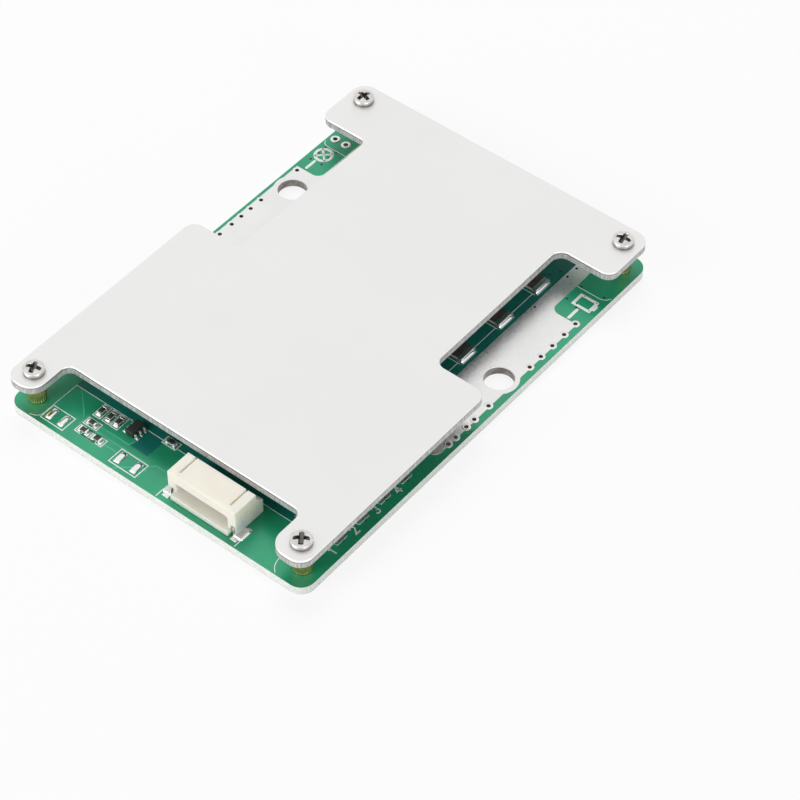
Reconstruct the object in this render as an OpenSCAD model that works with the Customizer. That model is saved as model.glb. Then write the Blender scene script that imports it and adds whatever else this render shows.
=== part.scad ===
// Battery management board: a circuit board that carries two banks of power transistors
// under a flat aluminium heatsink plate, with a plated lug hole on each side and a
// side-entry socket for the cell leads at the front.
// X runs left to right, Y front to back, Z up. The origin is the centre of the underside.

/* [Board] */
// Width of the board, left to right
board_w = 60; // [58:0.5:64]
// Length of the board, front to back
board_l = 86.6; // [84:0.2:94]
// Thickness of the board
board_t = 1.6; // [1:0.2:2.4]
// Radius of the board's corners
board_r = 2.5; // [1:0.5:3]
// Thickness of the tinned copper on the board
pad_t = 0.1; // [0.06:0.02:0.2]

/* [Lug holes] */
// Bore of the plated lug holes
lug_d = 5; // [4:0.2:5.2]
// Thickness of the plating in the holes
plating_t = 0.15; // [0.1:0.01:0.2]
// Width of the tinned ring round each lug hole
lug_ring = 0.8; // [0.5:0.1:0.9]
// Distance from the side edge to the lug hole's centre
lug_edge = 3.7; // [3.5:0.1:5]
// Distance from the back edge to the load lug hole's centre
load_lug_back = 22.9; // [21:0.1:24]
// Distance from the back edge to the battery lug hole's centre
battery_lug_back = 35; // [32:0.1:37]

/* [Terminal planes] */
// Bare strip between the load plane and the board's left edge
load_strip = 0.65; // [0.4:0.05:1]
// Bare strip between the battery plane and the board's right edge
battery_strip = 1.2; // [0.8:0.1:1.6]
// Distance from the back edge to the green windows' front side
window_back = 18.1; // [17:0.1:19]
// Width of the load side's green window, from the left edge
load_window_w = 5.45; // [4.5:0.05:7]
// Width of the battery side's green window, from the right edge
battery_window_w = 6.35; // [5:0.05:7.5]
// Radius of the green windows' inner corner
window_r = 1.5; // [0.5:0.1:2.5]
// Distance from the back edge to the planes' back end
plane_back = 5.2; // [4:0.1:7]
// Gap between the battery plane and the last tap pad
plane_tap_gap = 4.8; // [2:0.2:7]
// Gap between the load plane and the transistors' pads
load_plane_gap = 1; // [0.4:0.1:2]
// Bore of the small plated holes along the planes
via_d = 0.8; // [0.4:0.05:0.9]
// Diameter of the tinned rings round them
via_ring_d = 1.5; // [1.2:0.05:1.6]
// Distance from the left edge to the load side's row of small holes
load_via_edge = 1.3; // [1.2:0.05:1.6]
// Distance from the right edge to the battery side's row of small holes
battery_via_edge = 1.45; // [1.3:0.05:1.8]
// Outside diameter of the two ringed holes behind the load lug
ring_d = 1.7; // [1.6:0.1:2]
// Bore of the two ringed holes
ring_bore_d = 0.9; // [0.6:0.1:1.1]

/* [Heatsink plate] */
// Thickness of the plate
plate_t = 1.5; // [1:0.1:2.5]
// Radius of the plate's outer corners
plate_r = 2.5; // [1:0.5:3]
// Distance from the back edge to the cut-outs' back side
notch_back = 11.1; // [10.5:0.1:12]
// Distance from the back edge to the cut-outs' front side
notch_front = 43; // [41:0.1:45]
// Depth of the cut-out over the load lug
load_notch_depth = 9.7; // [9:0.1:10.5]
// Depth of the cut-out over the battery lug
battery_notch_depth = 10.2; // [9:0.1:11]
// Radius of the load cut-out's inner corners
load_notch_r = 1.1; // [0.5:0.1:2.5]
// Radius of the battery cut-out's inner corners
battery_notch_r = 1.8; // [0.5:0.1:2.5]
// Radius of the plate's corners beside the cut-outs
lobe_r = 2; // [0.5:0.5:2.5]
// Depth of the recess over the front strip
recess_depth = 7.9; // [7.5:0.1:9]
// Width of the front left lobe
left_lobe_w = 6.1; // [5.8:0.1:7]
// Width of the front right lobe
right_lobe_w = 6.8; // [5.8:0.1:7.5]
// Radius of the front lobes' corners beside the recess
lobe_end_r = 3; // [2:0.1:3.2]
// Radius of the recess's inner corners
recess_r = 1.6; // [0.5:0.1:2]

/* [Fixings] */
// Thread of the plate screws
screw_d = 2; // [1.6:0.1:2.2]
// Diameter of the screw heads
head_d = 3.5; // [3.2:0.1:4]
// Height of the screw heads
head_h = 1.2; // [1:0.1:1.6]
// Distance from the side edges to the screws
screw_side = 3.1; // [2.8:0.1:3.6]
// Distance from the front and back edges to the screws
screw_end = 3.5; // [3:0.1:4]
// Diameter of the standoffs
standoff_d = 3; // [3:0.1:3.6]
// Diameter of the standoffs' spigots in the board
spigot_d = 2.6; // [2.5:0.1:2.8]

/* [Power transistors] */
// Transistors in each bank
fet_count = 4; // [3:1:4]
// Spacing of the transistors
fet_pitch = 10.9; // [10.5:0.1:11.1]
// Width of a transistor's body
fet_w = 10; // [9.4:0.1:10.2]
// Length of a transistor's body
fet_l = 8.6; // [8.2:0.1:8.8]
// Height of a transistor's body
fet_h = 4.1; // [3.9:0.05:4.6]
// Length of the metal tab beyond the body
tab_l = 1.3; // [1:0.1:1.5]
// Thickness of the metal tab
tab_t = 1.27; // [1:0.01:1.4]
// Reach of the leads beyond the body
fet_lead_l = 4.8; // [4.6:0.1:5.3]
// Spacing of the leads
fet_lead_pitch = 2.54; // [2.3:0.01:2.7]
// Gap between the two banks' tabs
bank_gap = 0.6; // [0.4:0.1:0.8]
// Distance from the back edge to the banks' back end
bank_back = 10; // [9:0.1:10.6]
// Thickness of the thermal pads between the transistors and the plate
thermal_pad_t = 0.3; // [0.2:0.05:1]

/* [Shunt resistors] */
// Shunt resistors in the row
shunt_count = 3; // [1:1:3]
// Spacing of the shunt resistors
shunt_pitch = 9.7; // [8:0.1:10]
// Length of a shunt resistor
shunt_l = 6.4; // [6.2:0.05:6.5]
// Width of a shunt resistor
shunt_w = 3.2; // [3:0.1:3.5]
// Thickness of a shunt resistor
shunt_t = 0.6; // [0.5:0.05:0.8]
// Length of a shunt resistor's end cap
shunt_cap_l = 0.85; // [0.5:0.05:1.2]
// Distance from the right edge to the shunt resistors' ends
shunt_edge = 10.35; // [10:0.05:10.6]
// Gap between the shunt resistors and the battery plane
shunt_plane_gap = 1.1; // [0.8:0.1:1.4]
// Distance from the back edge to the first shunt resistor's centre
shunt_back = 15; // [14:0.1:16]

/* [Lead socket] */
// Leads that the socket takes
pin_count = 5; // [3:1:5]
// Spacing of the socket's pins
pin_pitch = 2; // [1.8:0.05:2]
// Thickness of the socket's pins
pin_w = 0.5; // [0.4:0.05:0.6]
// Distance from the board's right edge to the socket's centre
socket_right = 21.3; // [20.5:0.1:22.5]
// Distance from the board's front edge to the socket's walls
socket_front = 1.8; // [1.4:0.1:2.2]
// Width of the socket
socket_w = 13.4; // [13.2:0.1:14]
// Length of the socket's roof, front to back
socket_l = 4.8; // [4.6:0.1:5.2]
// Height of the socket
socket_h = 5.2; // [4.8:0.1:6]
// Thickness of the socket's side walls
socket_wall = 1.6; // [1.4:0.1:1.8]
// Thickness of the socket's floor
socket_floor = 1.2; // [0.9:0.1:1.4]
// Thickness of the socket's roof
socket_roof = 2.1; // [1.2:0.1:2.2]
// Thickness of the socket's back wall
socket_rear = 1; // [0.8:0.1:1.2]
// Reach of the floor's lip past the walls
socket_lip = 0.8; // [0.3:0.1:0.9]
// Length of the ears that guard the pins at the back
ear_l = 1.5; // [1:0.1:1.6]

/* [Small parts] */
// Length of a small chip part
chip_l = 1.6; // [1.4:0.05:1.65]
// Width of a small chip part
chip_w = 0.8; // [0.7:0.05:0.85]
// Thickness of a small chip part
chip_t = 0.45; // [0.35:0.05:0.8]
// Length of a small chip part's end cap
chip_cap_l = 0.3; // [0.2:0.05:0.4]
// Length of a balance resistor
balance_l = 3.2; // [3:0.05:3.3]
// Width of a balance resistor
balance_w = 1.6; // [1.4:0.05:1.7]
// Thickness of a balance resistor
balance_t = 0.55; // [0.45:0.05:0.7]
// Length of a small transistor's body
sot_l = 2.9; // [2.8:0.05:3.05]
// Width of a small transistor's body
sot_w = 1.6; // [1.4:0.05:1.7]
// Height of a small transistor's body
sot_h = 1.1; // [0.9:0.05:1.3]
// Leads on each side of the protection chip
ic_side_pins = 8; // [4:1:8]
// Spacing of the protection chip's leads
ic_pitch = 1.27; // [1.2:0.01:1.3]
// Width of the protection chip's body
ic_w = 3.9; // [3.8:0.1:4.4]
// Height of the protection chip's body
ic_h = 1.5; // [1.3:0.1:1.8]
// Spacing of the tap pads and of the balance parts
tap_pitch = 5.1; // [4.8:0.1:5.1]
// Distance from the front edge to the first tap pad
tap_front = 11.2; // [11:0.1:12]

/* [Hidden] */
$fn = 48;

// Cuts run this far past a face, so that none ends flush with it.
over = 0.5;
// Radial play of a pin, screw or plated wall in its hole.
play = 0.02;

// Heights.
pad_z = board_t + pad_t;
standoff_h = pad_t + fet_h + thermal_pad_t;
plate_z = board_t + standoff_h;

// Board edges.
left = -board_w/2;
right = board_w/2;
front = -board_l/2;
back = board_l/2;

// Lug holes.
load_lug = [left + lug_edge, back - load_lug_back];
battery_lug = [right - lug_edge, back - battery_lug_back];

// Rows of small plated holes, as distances from the load lug and the battery lug.
LOAD_VIAS = [4, -5.2, -7.8, -10.15, -12.55, -15.5];
BATTERY_VIAS = [16.9, 13.9, 10.8, 7.8, 4.9, -5.6, -9.2, -11.2, -13.9, -15.7];
load_via_x = left + load_via_edge;
battery_via_x = right - battery_via_edge;

// The two ringed holes, beside the back side of the load cut-out.
ring_y = back - 9;
ring_x = [left + 1.35, left + 3.7];

// Plate openings.
notch_y = [back - notch_front, back - notch_back];
notch_len = notch_y[1] - notch_y[0];
notch_mid = (notch_y[0] + notch_y[1])/2;
battery_notch_x = right - battery_notch_depth;

// Shunt resistors: the right-hand ends lie under the edge of the battery cut-out.
shunt_x = right - shunt_edge - shunt_l/2;
shunt_y = [for (i = [0:shunt_count - 1]) back - shunt_back - i*shunt_pitch];
shunt_pad_reach = 0.35;

// The battery plane starts beyond the shunt resistors' pads.
battery_plane_x = shunt_x + shunt_l/2 + shunt_plane_gap;
// The narrow strip of the battery plane that runs back beside its green window.
battery_plane_back_w = right - battery_window_w - battery_plane_x;

// Transistor banks: leads of the battery bank end beside the shunt resistors.
lead_clear = 0.6;
fet_bank_x = shunt_x - shunt_l/2 - lead_clear - fet_lead_l - fet_l/2;
load_bank_x = fet_bank_x - fet_l - 2*tab_l - bank_gap;
fet_y = [for (i = [0:fet_count - 1]) back - bank_back - fet_w/2 - i*fet_pitch];
bank_mid = (fet_y[0] + fet_y[fet_count - 1])/2;
bank_len = fet_y[0] - fet_y[fet_count - 1] + fet_w;
fet_lead_w = 0.8;
fet_lead_t = 0.5;
fet_lead_z = 2.2;
fet_foot = 2;
fet_foot_pad = 0.3;
tab_inset = 1;

// The load plane ends beside the load bank's leads.
load_plane_x = load_bank_x - fet_l/2 - fet_lead_l - fet_foot_pad/2 - load_plane_gap;

// Screw places.
screw_x = board_w/2 - screw_side;
screw_y = board_l/2 - screw_end;
head_dome_r = 2.6;
recess_slot_w = 0.5;
recess_slot_l = 1.9;
recess_slot_deep = 0.7;
screw_tip_gap = 0.3;

// Socket.
socket_x = right - socket_right;
socket_y = front + socket_front;
cavity_w = socket_w - 2*socket_wall;
cavity_z = [socket_floor, socket_h - socket_roof];
lead_in = 0.25;
// The mouth lies a little to the left of the socket's middle.
cavity_shift = -0.2;
slit_x = 5;
slit_w = 0.35;
slit_deep = 0.8;
slit_front = 1;
groove_h = 0.4;
groove_deep = 0.25;
solder_tab_t = 0.25;
solder_tab_l = 2.2;
solder_tab_h = 1.7;
solder_foot = 0.95;
// The seats of the tabs: distance from the outside of the wall, width and height.
tab_seat_in = 0.15;
tab_seat_w = 0.85;
tab_seat_h = 1.9;
groove_front = 1.3;
socket_pad_side = 1.2;
ear_h = [3.9, 2.9];
pin_z = (cavity_z[0] + cavity_z[1])/2;
pin_tip = 1;
pin_foot = 0.9;

// Places of the small parts: distance from the left edge, distance from the front edge,
// and turn. The front strip comes first, then the parts under the plate.
CHIP_RESISTORS = [
    [12.9, 7.6, 90], [14.8, 7.6, 90], [16.5, 7.6, 90], [13.5, 2.9, 0], [16.3, 2.9, 0],
    [13.5, 4.85, 0], [25.6, 9.5, 0], [31, 16, 90], [33.4, 16, 90], [35.8, 16, 90], [38.2, 16, 90],
    [8, 24, 0], [11, 23.6, 0], [22, 23.6, 0]];
CHIP_CAPACITORS = [
    [31, 19.5, 90], [33.4, 19.5, 90], [35.8, 19.5, 90], [38.2, 19.5, 90],
    [8, 13, 0], [22, 12.5, 0]];
SMALL_TRANSISTORS = [[19.6, 7.85, 90], [8, 17, 90], [8, 21.5, 90]];
// The unused footprints' pads: distance from the left edge.
BUMP_PADS = [7.25, 9.7, 21.5, 24.8];
bump_front = 2.4;
bump_pad = [1.1, 2.3];
bump_r = 0.65;
bump_h = 0.3;
PROTECTION_CHIP = [22, 19.5];

// Balance parts stand in rows beside the tap pads.
taps = 4;
balance_right = 8.6;
balance_sot_right = 13.6;
balance_sot_back = 1.7;
tap_pad = [2.6, 2.6];
tap_edge = 1.8;
tap_y = [for (i = [0:taps - 1]) front + tap_front + i*tap_pitch];

// Both planes end in front at the same line, clear of the last tap pad.
plane_y = [tap_y[taps - 1] + tap_pad[1]/2 + plane_tap_gap, back - plane_back];

// Small leads.
sot_lead = [0.4, 0.15];
sot_lead_reach = 0.6;
sot_pitch = 0.95;
ic_lead = [0.42, 0.22];
ic_lead_reach = 1.05;
ic_l = (ic_side_pins - 1)*ic_pitch + 1;
pad_margin = 0.15;

// ---------------------------------------------------------------- shared shapes

// A rectangle about the origin with rounded corners.
module rounded_rect(w, l, r) {
    square([w - 2*r, l], center = true);
    square([w, l - 2*r], center = true);
    for (x = [-1, 1], y = [-1, 1])
        translate([x*(w/2 - r), y*(l/2 - r)]) circle(r = r);
}

// What is cut off a square corner at (x, y) to round it. The material lies towards
// dir[0] in X and dir[1] in Y.
module corner_cut(x, y, dir, r) {
    side = r + over;
    difference() {
        translate([x + dir[0]*(r - side/2), y + dir[1]*(r - side/2)])
            square(side, center = true);
        translate([x + dir[0]*r, y + dir[1]*r]) circle(r = r);
    }
}

// A rectangle between two opposite corners.
module area(x0, y0, x1, y1) {
    translate([x0, y0]) square([x1 - x0, y1 - y0]);
}

// Copper on the top of the board.
module copper() {
    translate([0, 0, board_t]) linear_extrude(pad_t) children();
}

// A moulded body that stands on Z = 0: both pairs of sides lean in above and below the
// parting line.
module moulded(w, l, h, lean = 0.12) {
    part = h*0.45;
    intersection() {
        translate([0, l/2 + over, 0]) rotate([90, 0, 0]) linear_extrude(l + 2*over)
            polygon([[-w/2 + lean, 0], [w/2 - lean, 0], [w/2, part], [w/2 - lean, h],
                [-w/2 + lean, h], [-w/2, part]]);
        translate([-w/2 - over, 0, 0]) rotate([90, 0, 90]) linear_extrude(w + 2*over)
            polygon([[-l/2 + lean, 0], [l/2 - lean, 0], [l/2, part], [l/2 - lean, h],
                [-l/2 + lean, h], [-l/2, part]]);
    }
}

// A bent lead that leaves a body at X = 0 at height z and stands on Z = 0: out, down and
// out again along a foot.
module gull_lead(reach, z, foot, w, t) {
    knee = reach - foot;
    translate([0, w/2, 0]) rotate([90, 0, 0]) linear_extrude(w)
        polygon([[-over, z], [knee*0.4, z], [knee, 0], [reach, 0], [reach, t],
            [knee + t*0.8, t], [knee*0.4 + t*0.8, z + t], [-over, z + t]]);
}

// Puts a small part at its place in a list: from the left edge, from the front edge, turn.
module at(p) {
    translate([left + p[0], front + p[1], 0]) rotate([0, 0, p[2]]) children();
}

// The middle of a chip part, between its end caps.
module chip_body(l, w, t, cap) {
    translate([-l/2 + cap, -w/2, pad_z]) cube([l - 2*cap, w, t]);
}

// The two end caps of a chip part, a little proud of its middle.
module chip_ends(l, w, t, cap, proud = 0.03) {
    for (side = [-1, 1])
        translate([side*(l - cap)/2 - cap/2, -w/2 - proud, pad_z])
            cube([cap, w + 2*proud, t + proud]);
}

// The pair of pads under a chip part.
module chip_pads(l, w, cap, reach = 0.25) {
    for (side = [-1, 1])
        translate([side*((l - cap + reach)/2), 0])
            square([cap + reach + pad_margin, w + 2*pad_margin], center = true);
}

// The middle of a row of n things, pitch apart.
function centred(n, pitch) = [for (i = [0:n - 1]) (i - (n - 1)/2)*pitch];

// ---------------------------------------------------------------- board and copper

module circuit_board() {
    color([0.05, 0.42, 0.3]) difference() {
        linear_extrude(board_t) rounded_rect(board_w, board_l, board_r);
        for (p = [load_lug, battery_lug])
            translate([p[0], p[1], -over]) cylinder(d = lug_d + 2*plating_t + 2*play,
                h = board_t + 2*over);
        for (x = [-1, 1], y = [-1, 1])
            translate([x*screw_x, y*screw_y, -over])
                cylinder(d = spigot_d + 2*play, h = board_t + 2*over);
        translate([0, 0, -over]) linear_extrude(board_t + 2*over) {
            load_via_circles(via_d);
            battery_via_circles(via_d);
            for (x = ring_x) translate([x, ring_y])
                circle(d = ring_bore_d + 2*plating_t + 2*play);
        }
    }
}

// The small plated holes of a row that fall on their plane, as distances in Y.
function on_plane(lug_y, places) =
    [for (dy = places) if (lug_y + dy - via_ring_d/2 > plane_y[0]) lug_y + dy];

module load_via_circles(d) {
    for (y = on_plane(load_lug[1], LOAD_VIAS)) translate([load_via_x, y]) circle(d = d, $fn = 24);
}

module battery_via_circles(d) {
    for (y = on_plane(battery_lug[1], BATTERY_VIAS))
        translate([battery_via_x, y]) circle(d = d, $fn = 24);
}

// The plated wall of a lug hole, from the board's underside to the top of the copper.
module lug_barrel(p) {
    translate([p[0], p[1], 0]) difference() {
        cylinder(d = lug_d + 2*plating_t, h = pad_z);
        translate([0, 0, -over]) cylinder(d = lug_d, h = pad_z + 2*over);
    }
}

module load_plane() {
    window = [left + load_window_w, back - window_back];
    color([0.8, 0.8, 0.8]) {
        copper() difference() {
            union() {
                difference() {
                    area(left + load_strip, plane_y[0], load_plane_x, window[1]);
                    corner_cut(left + load_strip, plane_y[0], [1, 1], window_r);
                }
                area(window[0], window[1] - over, load_plane_x, plane_y[1]);
                inner_round(window[0], window[1], [-1, 1], window_r);
                translate(load_lug) circle(d = lug_d + 2*lug_ring);
                load_via_circles(via_ring_d);
            }
            translate(load_lug) circle(d = lug_d);
            load_via_circles(via_d);
        }
        lug_barrel(load_lug);
    }
}

// What fills an inner corner at (x, y) to round it. The open side lies towards dir.
module inner_round(x, y, dir, r) {
    difference() {
        translate([x + dir[0]*r/2, y + dir[1]*r/2]) square(r, center = true);
        translate([x + dir[0]*r, y + dir[1]*r]) circle(r = r);
    }
}

module battery_plane() {
    window = [right - battery_window_w, back - window_back];
    edge = right - battery_strip;
    color([0.8, 0.8, 0.8]) {
        copper() difference() {
            union() {
                difference() {
                    area(battery_plane_x, plane_y[0], edge, window[1]);
                    corner_cut(edge, plane_y[0], [-1, 1], window_r);
                }
                area(battery_plane_x, window[1] - over, battery_plane_x + battery_plane_back_w,
                    plane_y[1]);
                inner_round(window[0], window[1], [1, 1], window_r);
                translate(battery_lug) circle(d = lug_d + 2*lug_ring);
                battery_via_circles(via_ring_d);
            }
            translate(battery_lug) circle(d = lug_d);
            battery_via_circles(via_d);
        }
        lug_barrel(battery_lug);
    }
}

module plated_rings() {
    color([0.82, 0.82, 0.8]) for (x = ring_x) translate([x, ring_y, 0]) difference() {
        union() {
            cylinder(d = ring_bore_d + 2*plating_t, h = pad_z);
            translate([0, 0, board_t]) cylinder(d = ring_d, h = pad_t);
        }
        translate([0, 0, -over]) cylinder(d = ring_bore_d, h = pad_z + 2*over);
    }
}

module tap_pads() {
    color([0.75, 0.75, 0.75]) copper() for (y = tap_y)
        translate([right - tap_edge - tap_pad[0]/2, y])
            rounded_rect(tap_pad[0], tap_pad[1], 0.3);
}

module component_pads() {
    color([0.78, 0.78, 0.76]) copper() {
        for (p = CHIP_RESISTORS) at(p) chip_pads(chip_l, chip_w, chip_cap_l);
        for (p = CHIP_CAPACITORS) at(p) chip_pads(chip_l, chip_w, chip_cap_l);
        for (y = tap_y) translate([right - balance_right, y])
            chip_pads(balance_l, balance_w, 0.5);
        for (p = SMALL_TRANSISTORS) at(p) sot_pads();
        for (y = tap_y) translate([right - balance_sot_right, y + balance_sot_back]) sot_pads();
        for (x = BUMP_PADS) translate([left + x, front + bump_front])
            square(bump_pad, center = true);
        at([PROTECTION_CHIP[0], PROTECTION_CHIP[1], 0]) ic_pads();
        socket_pads();
    }
}

module power_pads() {
    color([0.78, 0.78, 0.76]) copper() {
        shunt_pads();
        fet_pads();
    }
}

module sot_pads() {
    for (x = centred(3, sot_pitch), side = [-1, 1])
        translate([x, side*(sot_w/2 + sot_lead_reach - 0.15)])
            square([sot_lead[0] + pad_margin, 0.7], center = true);
}

module ic_pads() {
    for (x = centred(ic_side_pins, ic_pitch), side = [-1, 1])
        translate([x, side*(ic_w/2 + ic_lead_reach - 0.3)])
            square([ic_lead[0] + pad_margin, 1.1], center = true);
}

module socket_pads() {
    for (side = [-1, 1])
        translate([socket_x + side*(socket_w/2 + socket_pad_side/2 - 0.5),
            socket_y + solder_tab_l/2 - 0.6])
            square([socket_pad_side, solder_tab_l + 0.6], center = true);
    for (x = centred(pin_count, pin_pitch))
        translate([socket_x + x, socket_y + socket_l + pin_foot])
            square([pin_w + 0.4, 1.6], center = true);
}

module shunt_pads() {
    for (y = shunt_y, side = [-1, 1])
        translate([shunt_x + side*(shunt_l - shunt_cap_l + shunt_pad_reach)/2, y])
            square([shunt_cap_l + shunt_pad_reach + pad_margin, shunt_w + 2*pad_margin],
                center = true);
}

module fet_pads() {
    for (y = fet_y) {
        // Under the tabs, which face each other in the middle.
        for (side = [-1, 1]) {
            mid = side > 0 ? fet_bank_x : load_bank_x;
            translate([mid - side*(tab_l/2 + 0.4), y])
                square([fet_l + tab_l - 0.8 - 0.1, fet_w - 0.2], center = true);
            for (dy = [-1, 1])
                translate([mid + side*(fet_l/2 + fet_lead_l - fet_foot/2), y + dy*fet_lead_pitch])
                    square([fet_foot + fet_foot_pad, fet_lead_w + 0.5], center = true);
        }
    }
}

module solder_bumps() {
    color([0.88, 0.88, 0.88]) for (x = BUMP_PADS)
        translate([left + x, front + bump_front, pad_z]) intersection() {
            translate([0, 0, bump_h - bump_r]) {
                rotate([90, 0, 0]) cylinder(r = bump_r, h = bump_pad[1] - bump_pad[0],
                    center = true);
                for (y = [-1, 1]) translate([0, y*(bump_pad[1] - bump_pad[0])/2, 0])
                    sphere(r = bump_r);
            }
            translate([-bump_r, -bump_pad[1]/2 - over, 0])
                cube([2*bump_r, bump_pad[1] + 2*over, bump_h + over]);
        }
}

// ---------------------------------------------------------------- heatsink and fixings

module heatsink_plate() {
    color([0.9, 0.9, 0.9]) difference() {
        translate([0, 0, plate_z]) linear_extrude(plate_t) plate_outline();
        for (x = [-1, 1], y = [-1, 1]) translate([x*screw_x, y*screw_y, plate_z - over])
            cylinder(d = screw_d + 0.2, h = plate_t + 2*over);
    }
}

// The plate's outline: the board's rectangle, less the two side cut-outs, which open
// through the sides, and the recess, which opens through the front.
module plate_outline() {
    recess = [left + left_lobe_w, right - right_lobe_w, front + recess_depth];
    difference() {
        rounded_rect(board_w, board_l, plate_r);
        translate([left, notch_mid])
            rounded_rect(2*load_notch_depth, notch_len, load_notch_r);
        translate([right, notch_mid])
            rounded_rect(2*battery_notch_depth, notch_len, battery_notch_r);
        translate([(recess[0] + recess[1])/2, front])
            rounded_rect(recess[1] - recess[0], 2*recess_depth, recess_r);
        for (y = notch_y) {
            dir_y = y == notch_y[0] ? -1 : 1;
            corner_cut(left, y, [1, dir_y], lobe_r);
            corner_cut(right, y, [-1, dir_y], lobe_r);
        }
        corner_cut(recess[0], front, [-1, 1], lobe_end_r);
        corner_cut(recess[1], front, [1, 1], lobe_end_r);
    }
}

module plate_screws() {
    color([0.75, 0.75, 0.74])
        for (x = [-1, 1], y = [-1, 1]) translate([x*screw_x, y*screw_y, plate_z + plate_t])
            plate_screw();
}

// A pan head screw that hangs down from Z = 0.
module plate_screw() {
    difference() {
        union() {
            intersection() {
                cylinder(d = head_d, h = head_h);
                translate([0, 0, head_h - head_dome_r]) sphere(r = head_dome_r);
            }
            translate([0, 0, -plate_t - standoff_h + screw_tip_gap])
                cylinder(d = screw_d, h = plate_t + standoff_h - screw_tip_gap + 0.1);
        }
        for (turn = [0, 90]) rotate([0, 0, turn])
            translate([-recess_slot_l/2, -recess_slot_w/2, head_h - recess_slot_deep])
                cube([recess_slot_l, recess_slot_w, recess_slot_deep + over]);
    }
}

module standoffs() {
    color([0.72, 0.6, 0.25]) for (x = [-1, 1], y = [-1, 1])
        translate([x*screw_x, y*screw_y, 0]) difference() {
            union() {
                cylinder(d = spigot_d, h = board_t + over);
                translate([0, 0, board_t]) cylinder(d = standoff_d, h = standoff_h);
            }
            translate([0, 0, -over])
                cylinder(d = screw_d + 2*play, h = plate_z + 2*over);
        }
}

// ---------------------------------------------------------------- power stage

// Puts a power transistor at each place of both banks, leads outwards.
module each_fet() {
    for (y = fet_y) {
        translate([fet_bank_x, y, pad_z]) children();
        translate([load_bank_x, y, pad_z]) rotate([0, 0, 180]) children();
    }
}

// The metal tab of one transistor: the slab under the body and its bare end.
module fet_tab() {
    translate([-fet_l/2 - tab_l, -fet_w/2 + 0.1, 0]) cube([tab_l, fet_w - 0.2, tab_t]);
    translate([-fet_l/2 - over, -fet_w/2 + tab_inset, 0])
        cube([fet_l - 2 + over, fet_w - 2*tab_inset, tab_t]);
}

// The three leads of one transistor. The middle one is cut short.
module fet_leads() {
    for (dy = [-1, 1]) translate([fet_l/2, dy*fet_lead_pitch, 0])
        gull_lead(fet_lead_l, fet_lead_z, fet_foot, fet_lead_w, fet_lead_t);
    translate([fet_l/2 - over, -fet_lead_w/2, fet_lead_z])
        cube([over + 0.9, fet_lead_w, fet_lead_t]);
}

module power_transistor_bodies() {
    color([0.12, 0.12, 0.13]) each_fet() difference() {
        moulded(fet_l, fet_w, fet_h);
        fet_tab();
        fet_leads();
    }
}

module power_transistor_tabs() {
    color([0.7, 0.7, 0.7]) each_fet() fet_tab();
}

module power_transistor_leads() {
    color([0.72, 0.72, 0.72]) each_fet() fet_leads();
}

module thermal_pads() {
    color([0.65, 0.67, 0.7]) for (x = [fet_bank_x, load_bank_x])
        translate([x - fet_l/2 + 0.2, bank_mid - bank_len/2 + 0.2, pad_z + fet_h])
            cube([fet_l - 0.4, bank_len - 0.4, thermal_pad_t]);
}

module shunt_bodies() {
    color([0.1, 0.1, 0.1]) for (y = shunt_y) translate([shunt_x, y, 0])
        chip_body(shunt_l, shunt_w, shunt_t, shunt_cap_l);
}

module shunt_end_caps() {
    color([0.88, 0.88, 0.88]) for (y = shunt_y) translate([shunt_x, y, 0])
        chip_ends(shunt_l, shunt_w, shunt_t, shunt_cap_l);
}

// ---------------------------------------------------------------- lead socket

// The socket's own frame: X = 0 at its middle, Y = 0 at the front of its walls, Z = 0 on
// the board.
module in_socket() {
    translate([socket_x, socket_y, board_t]) children();
}

module socket_housing() {
    color([0.97, 0.93, 0.85]) in_socket() difference() {
        union() {
            translate([-socket_w/2, 0, pad_t]) cube([socket_w, socket_l, socket_h - pad_t]);
            socket_lip_shape();
            for (side = [-1, 1]) socket_ear(side);
        }
        socket_cavity();
        for (side = [-1, 1]) {
            socket_slit(side);
            socket_groove(side);
            solder_tab_seat(side);
        }
        socket_pin_shapes();
    }
}

// The lip in front of the walls: the floor runs on, narrower than the walls.
module socket_lip_shape() {
    half = socket_w/2 - 1;
    translate([-half, -socket_lip, pad_t]) cube([2*half, socket_lip + over, socket_floor - pad_t]);
}

// An ear behind one side wall, whose top slopes down to the back.
module socket_ear(side) {
    x = side > 0 ? socket_w/2 - socket_wall + 0.3 : -socket_w/2;
    translate([x, socket_l, 0]) rotate([90, 0, 90]) linear_extrude(socket_wall - 0.3)
        polygon([[-over, pad_t], [ear_l, pad_t], [ear_l, ear_h[1]], [0, ear_h[0]],
            [-over, ear_h[0]]]);
}

// The cavity, with a chamfer at its mouth above and on both sides.
module socket_cavity() {
    depth = socket_l - socket_rear;
    half = cavity_w/2;
    translate([cavity_shift, 0, 0]) {
        translate([-half, -over, cavity_z[0]])
            cube([cavity_w, depth + over, cavity_z[1] - cavity_z[0]]);
        translate([-half, 0, 0]) rotate([90, 0, 90]) linear_extrude(cavity_w)
            polygon([[-over, cavity_z[0]], [-over, cavity_z[1] + lead_in + over],
                [lead_in, cavity_z[1]], [lead_in, cavity_z[0]]]);
        translate([0, 0, cavity_z[0]]) linear_extrude(cavity_z[1] - cavity_z[0])
            polygon([[-half - lead_in - over, -over], [half + lead_in + over, -over],
                [half, lead_in], [-half, lead_in]]);
    }
}

// A slit in the roof over each side wall, open to the back.
module socket_slit(side) {
    translate([side*slit_x - slit_w/2, slit_front, socket_h - slit_deep])
        cube([slit_w, socket_l - slit_front + over, slit_deep + over]);
}

// A groove along each side, open to nothing.
module socket_groove(side) {
    translate([side*socket_w/2 - groove_deep, groove_front, ear_h[1] - 0.1])
        cube([2*groove_deep, socket_l - groove_front - 0.3, groove_h]);
}

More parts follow.
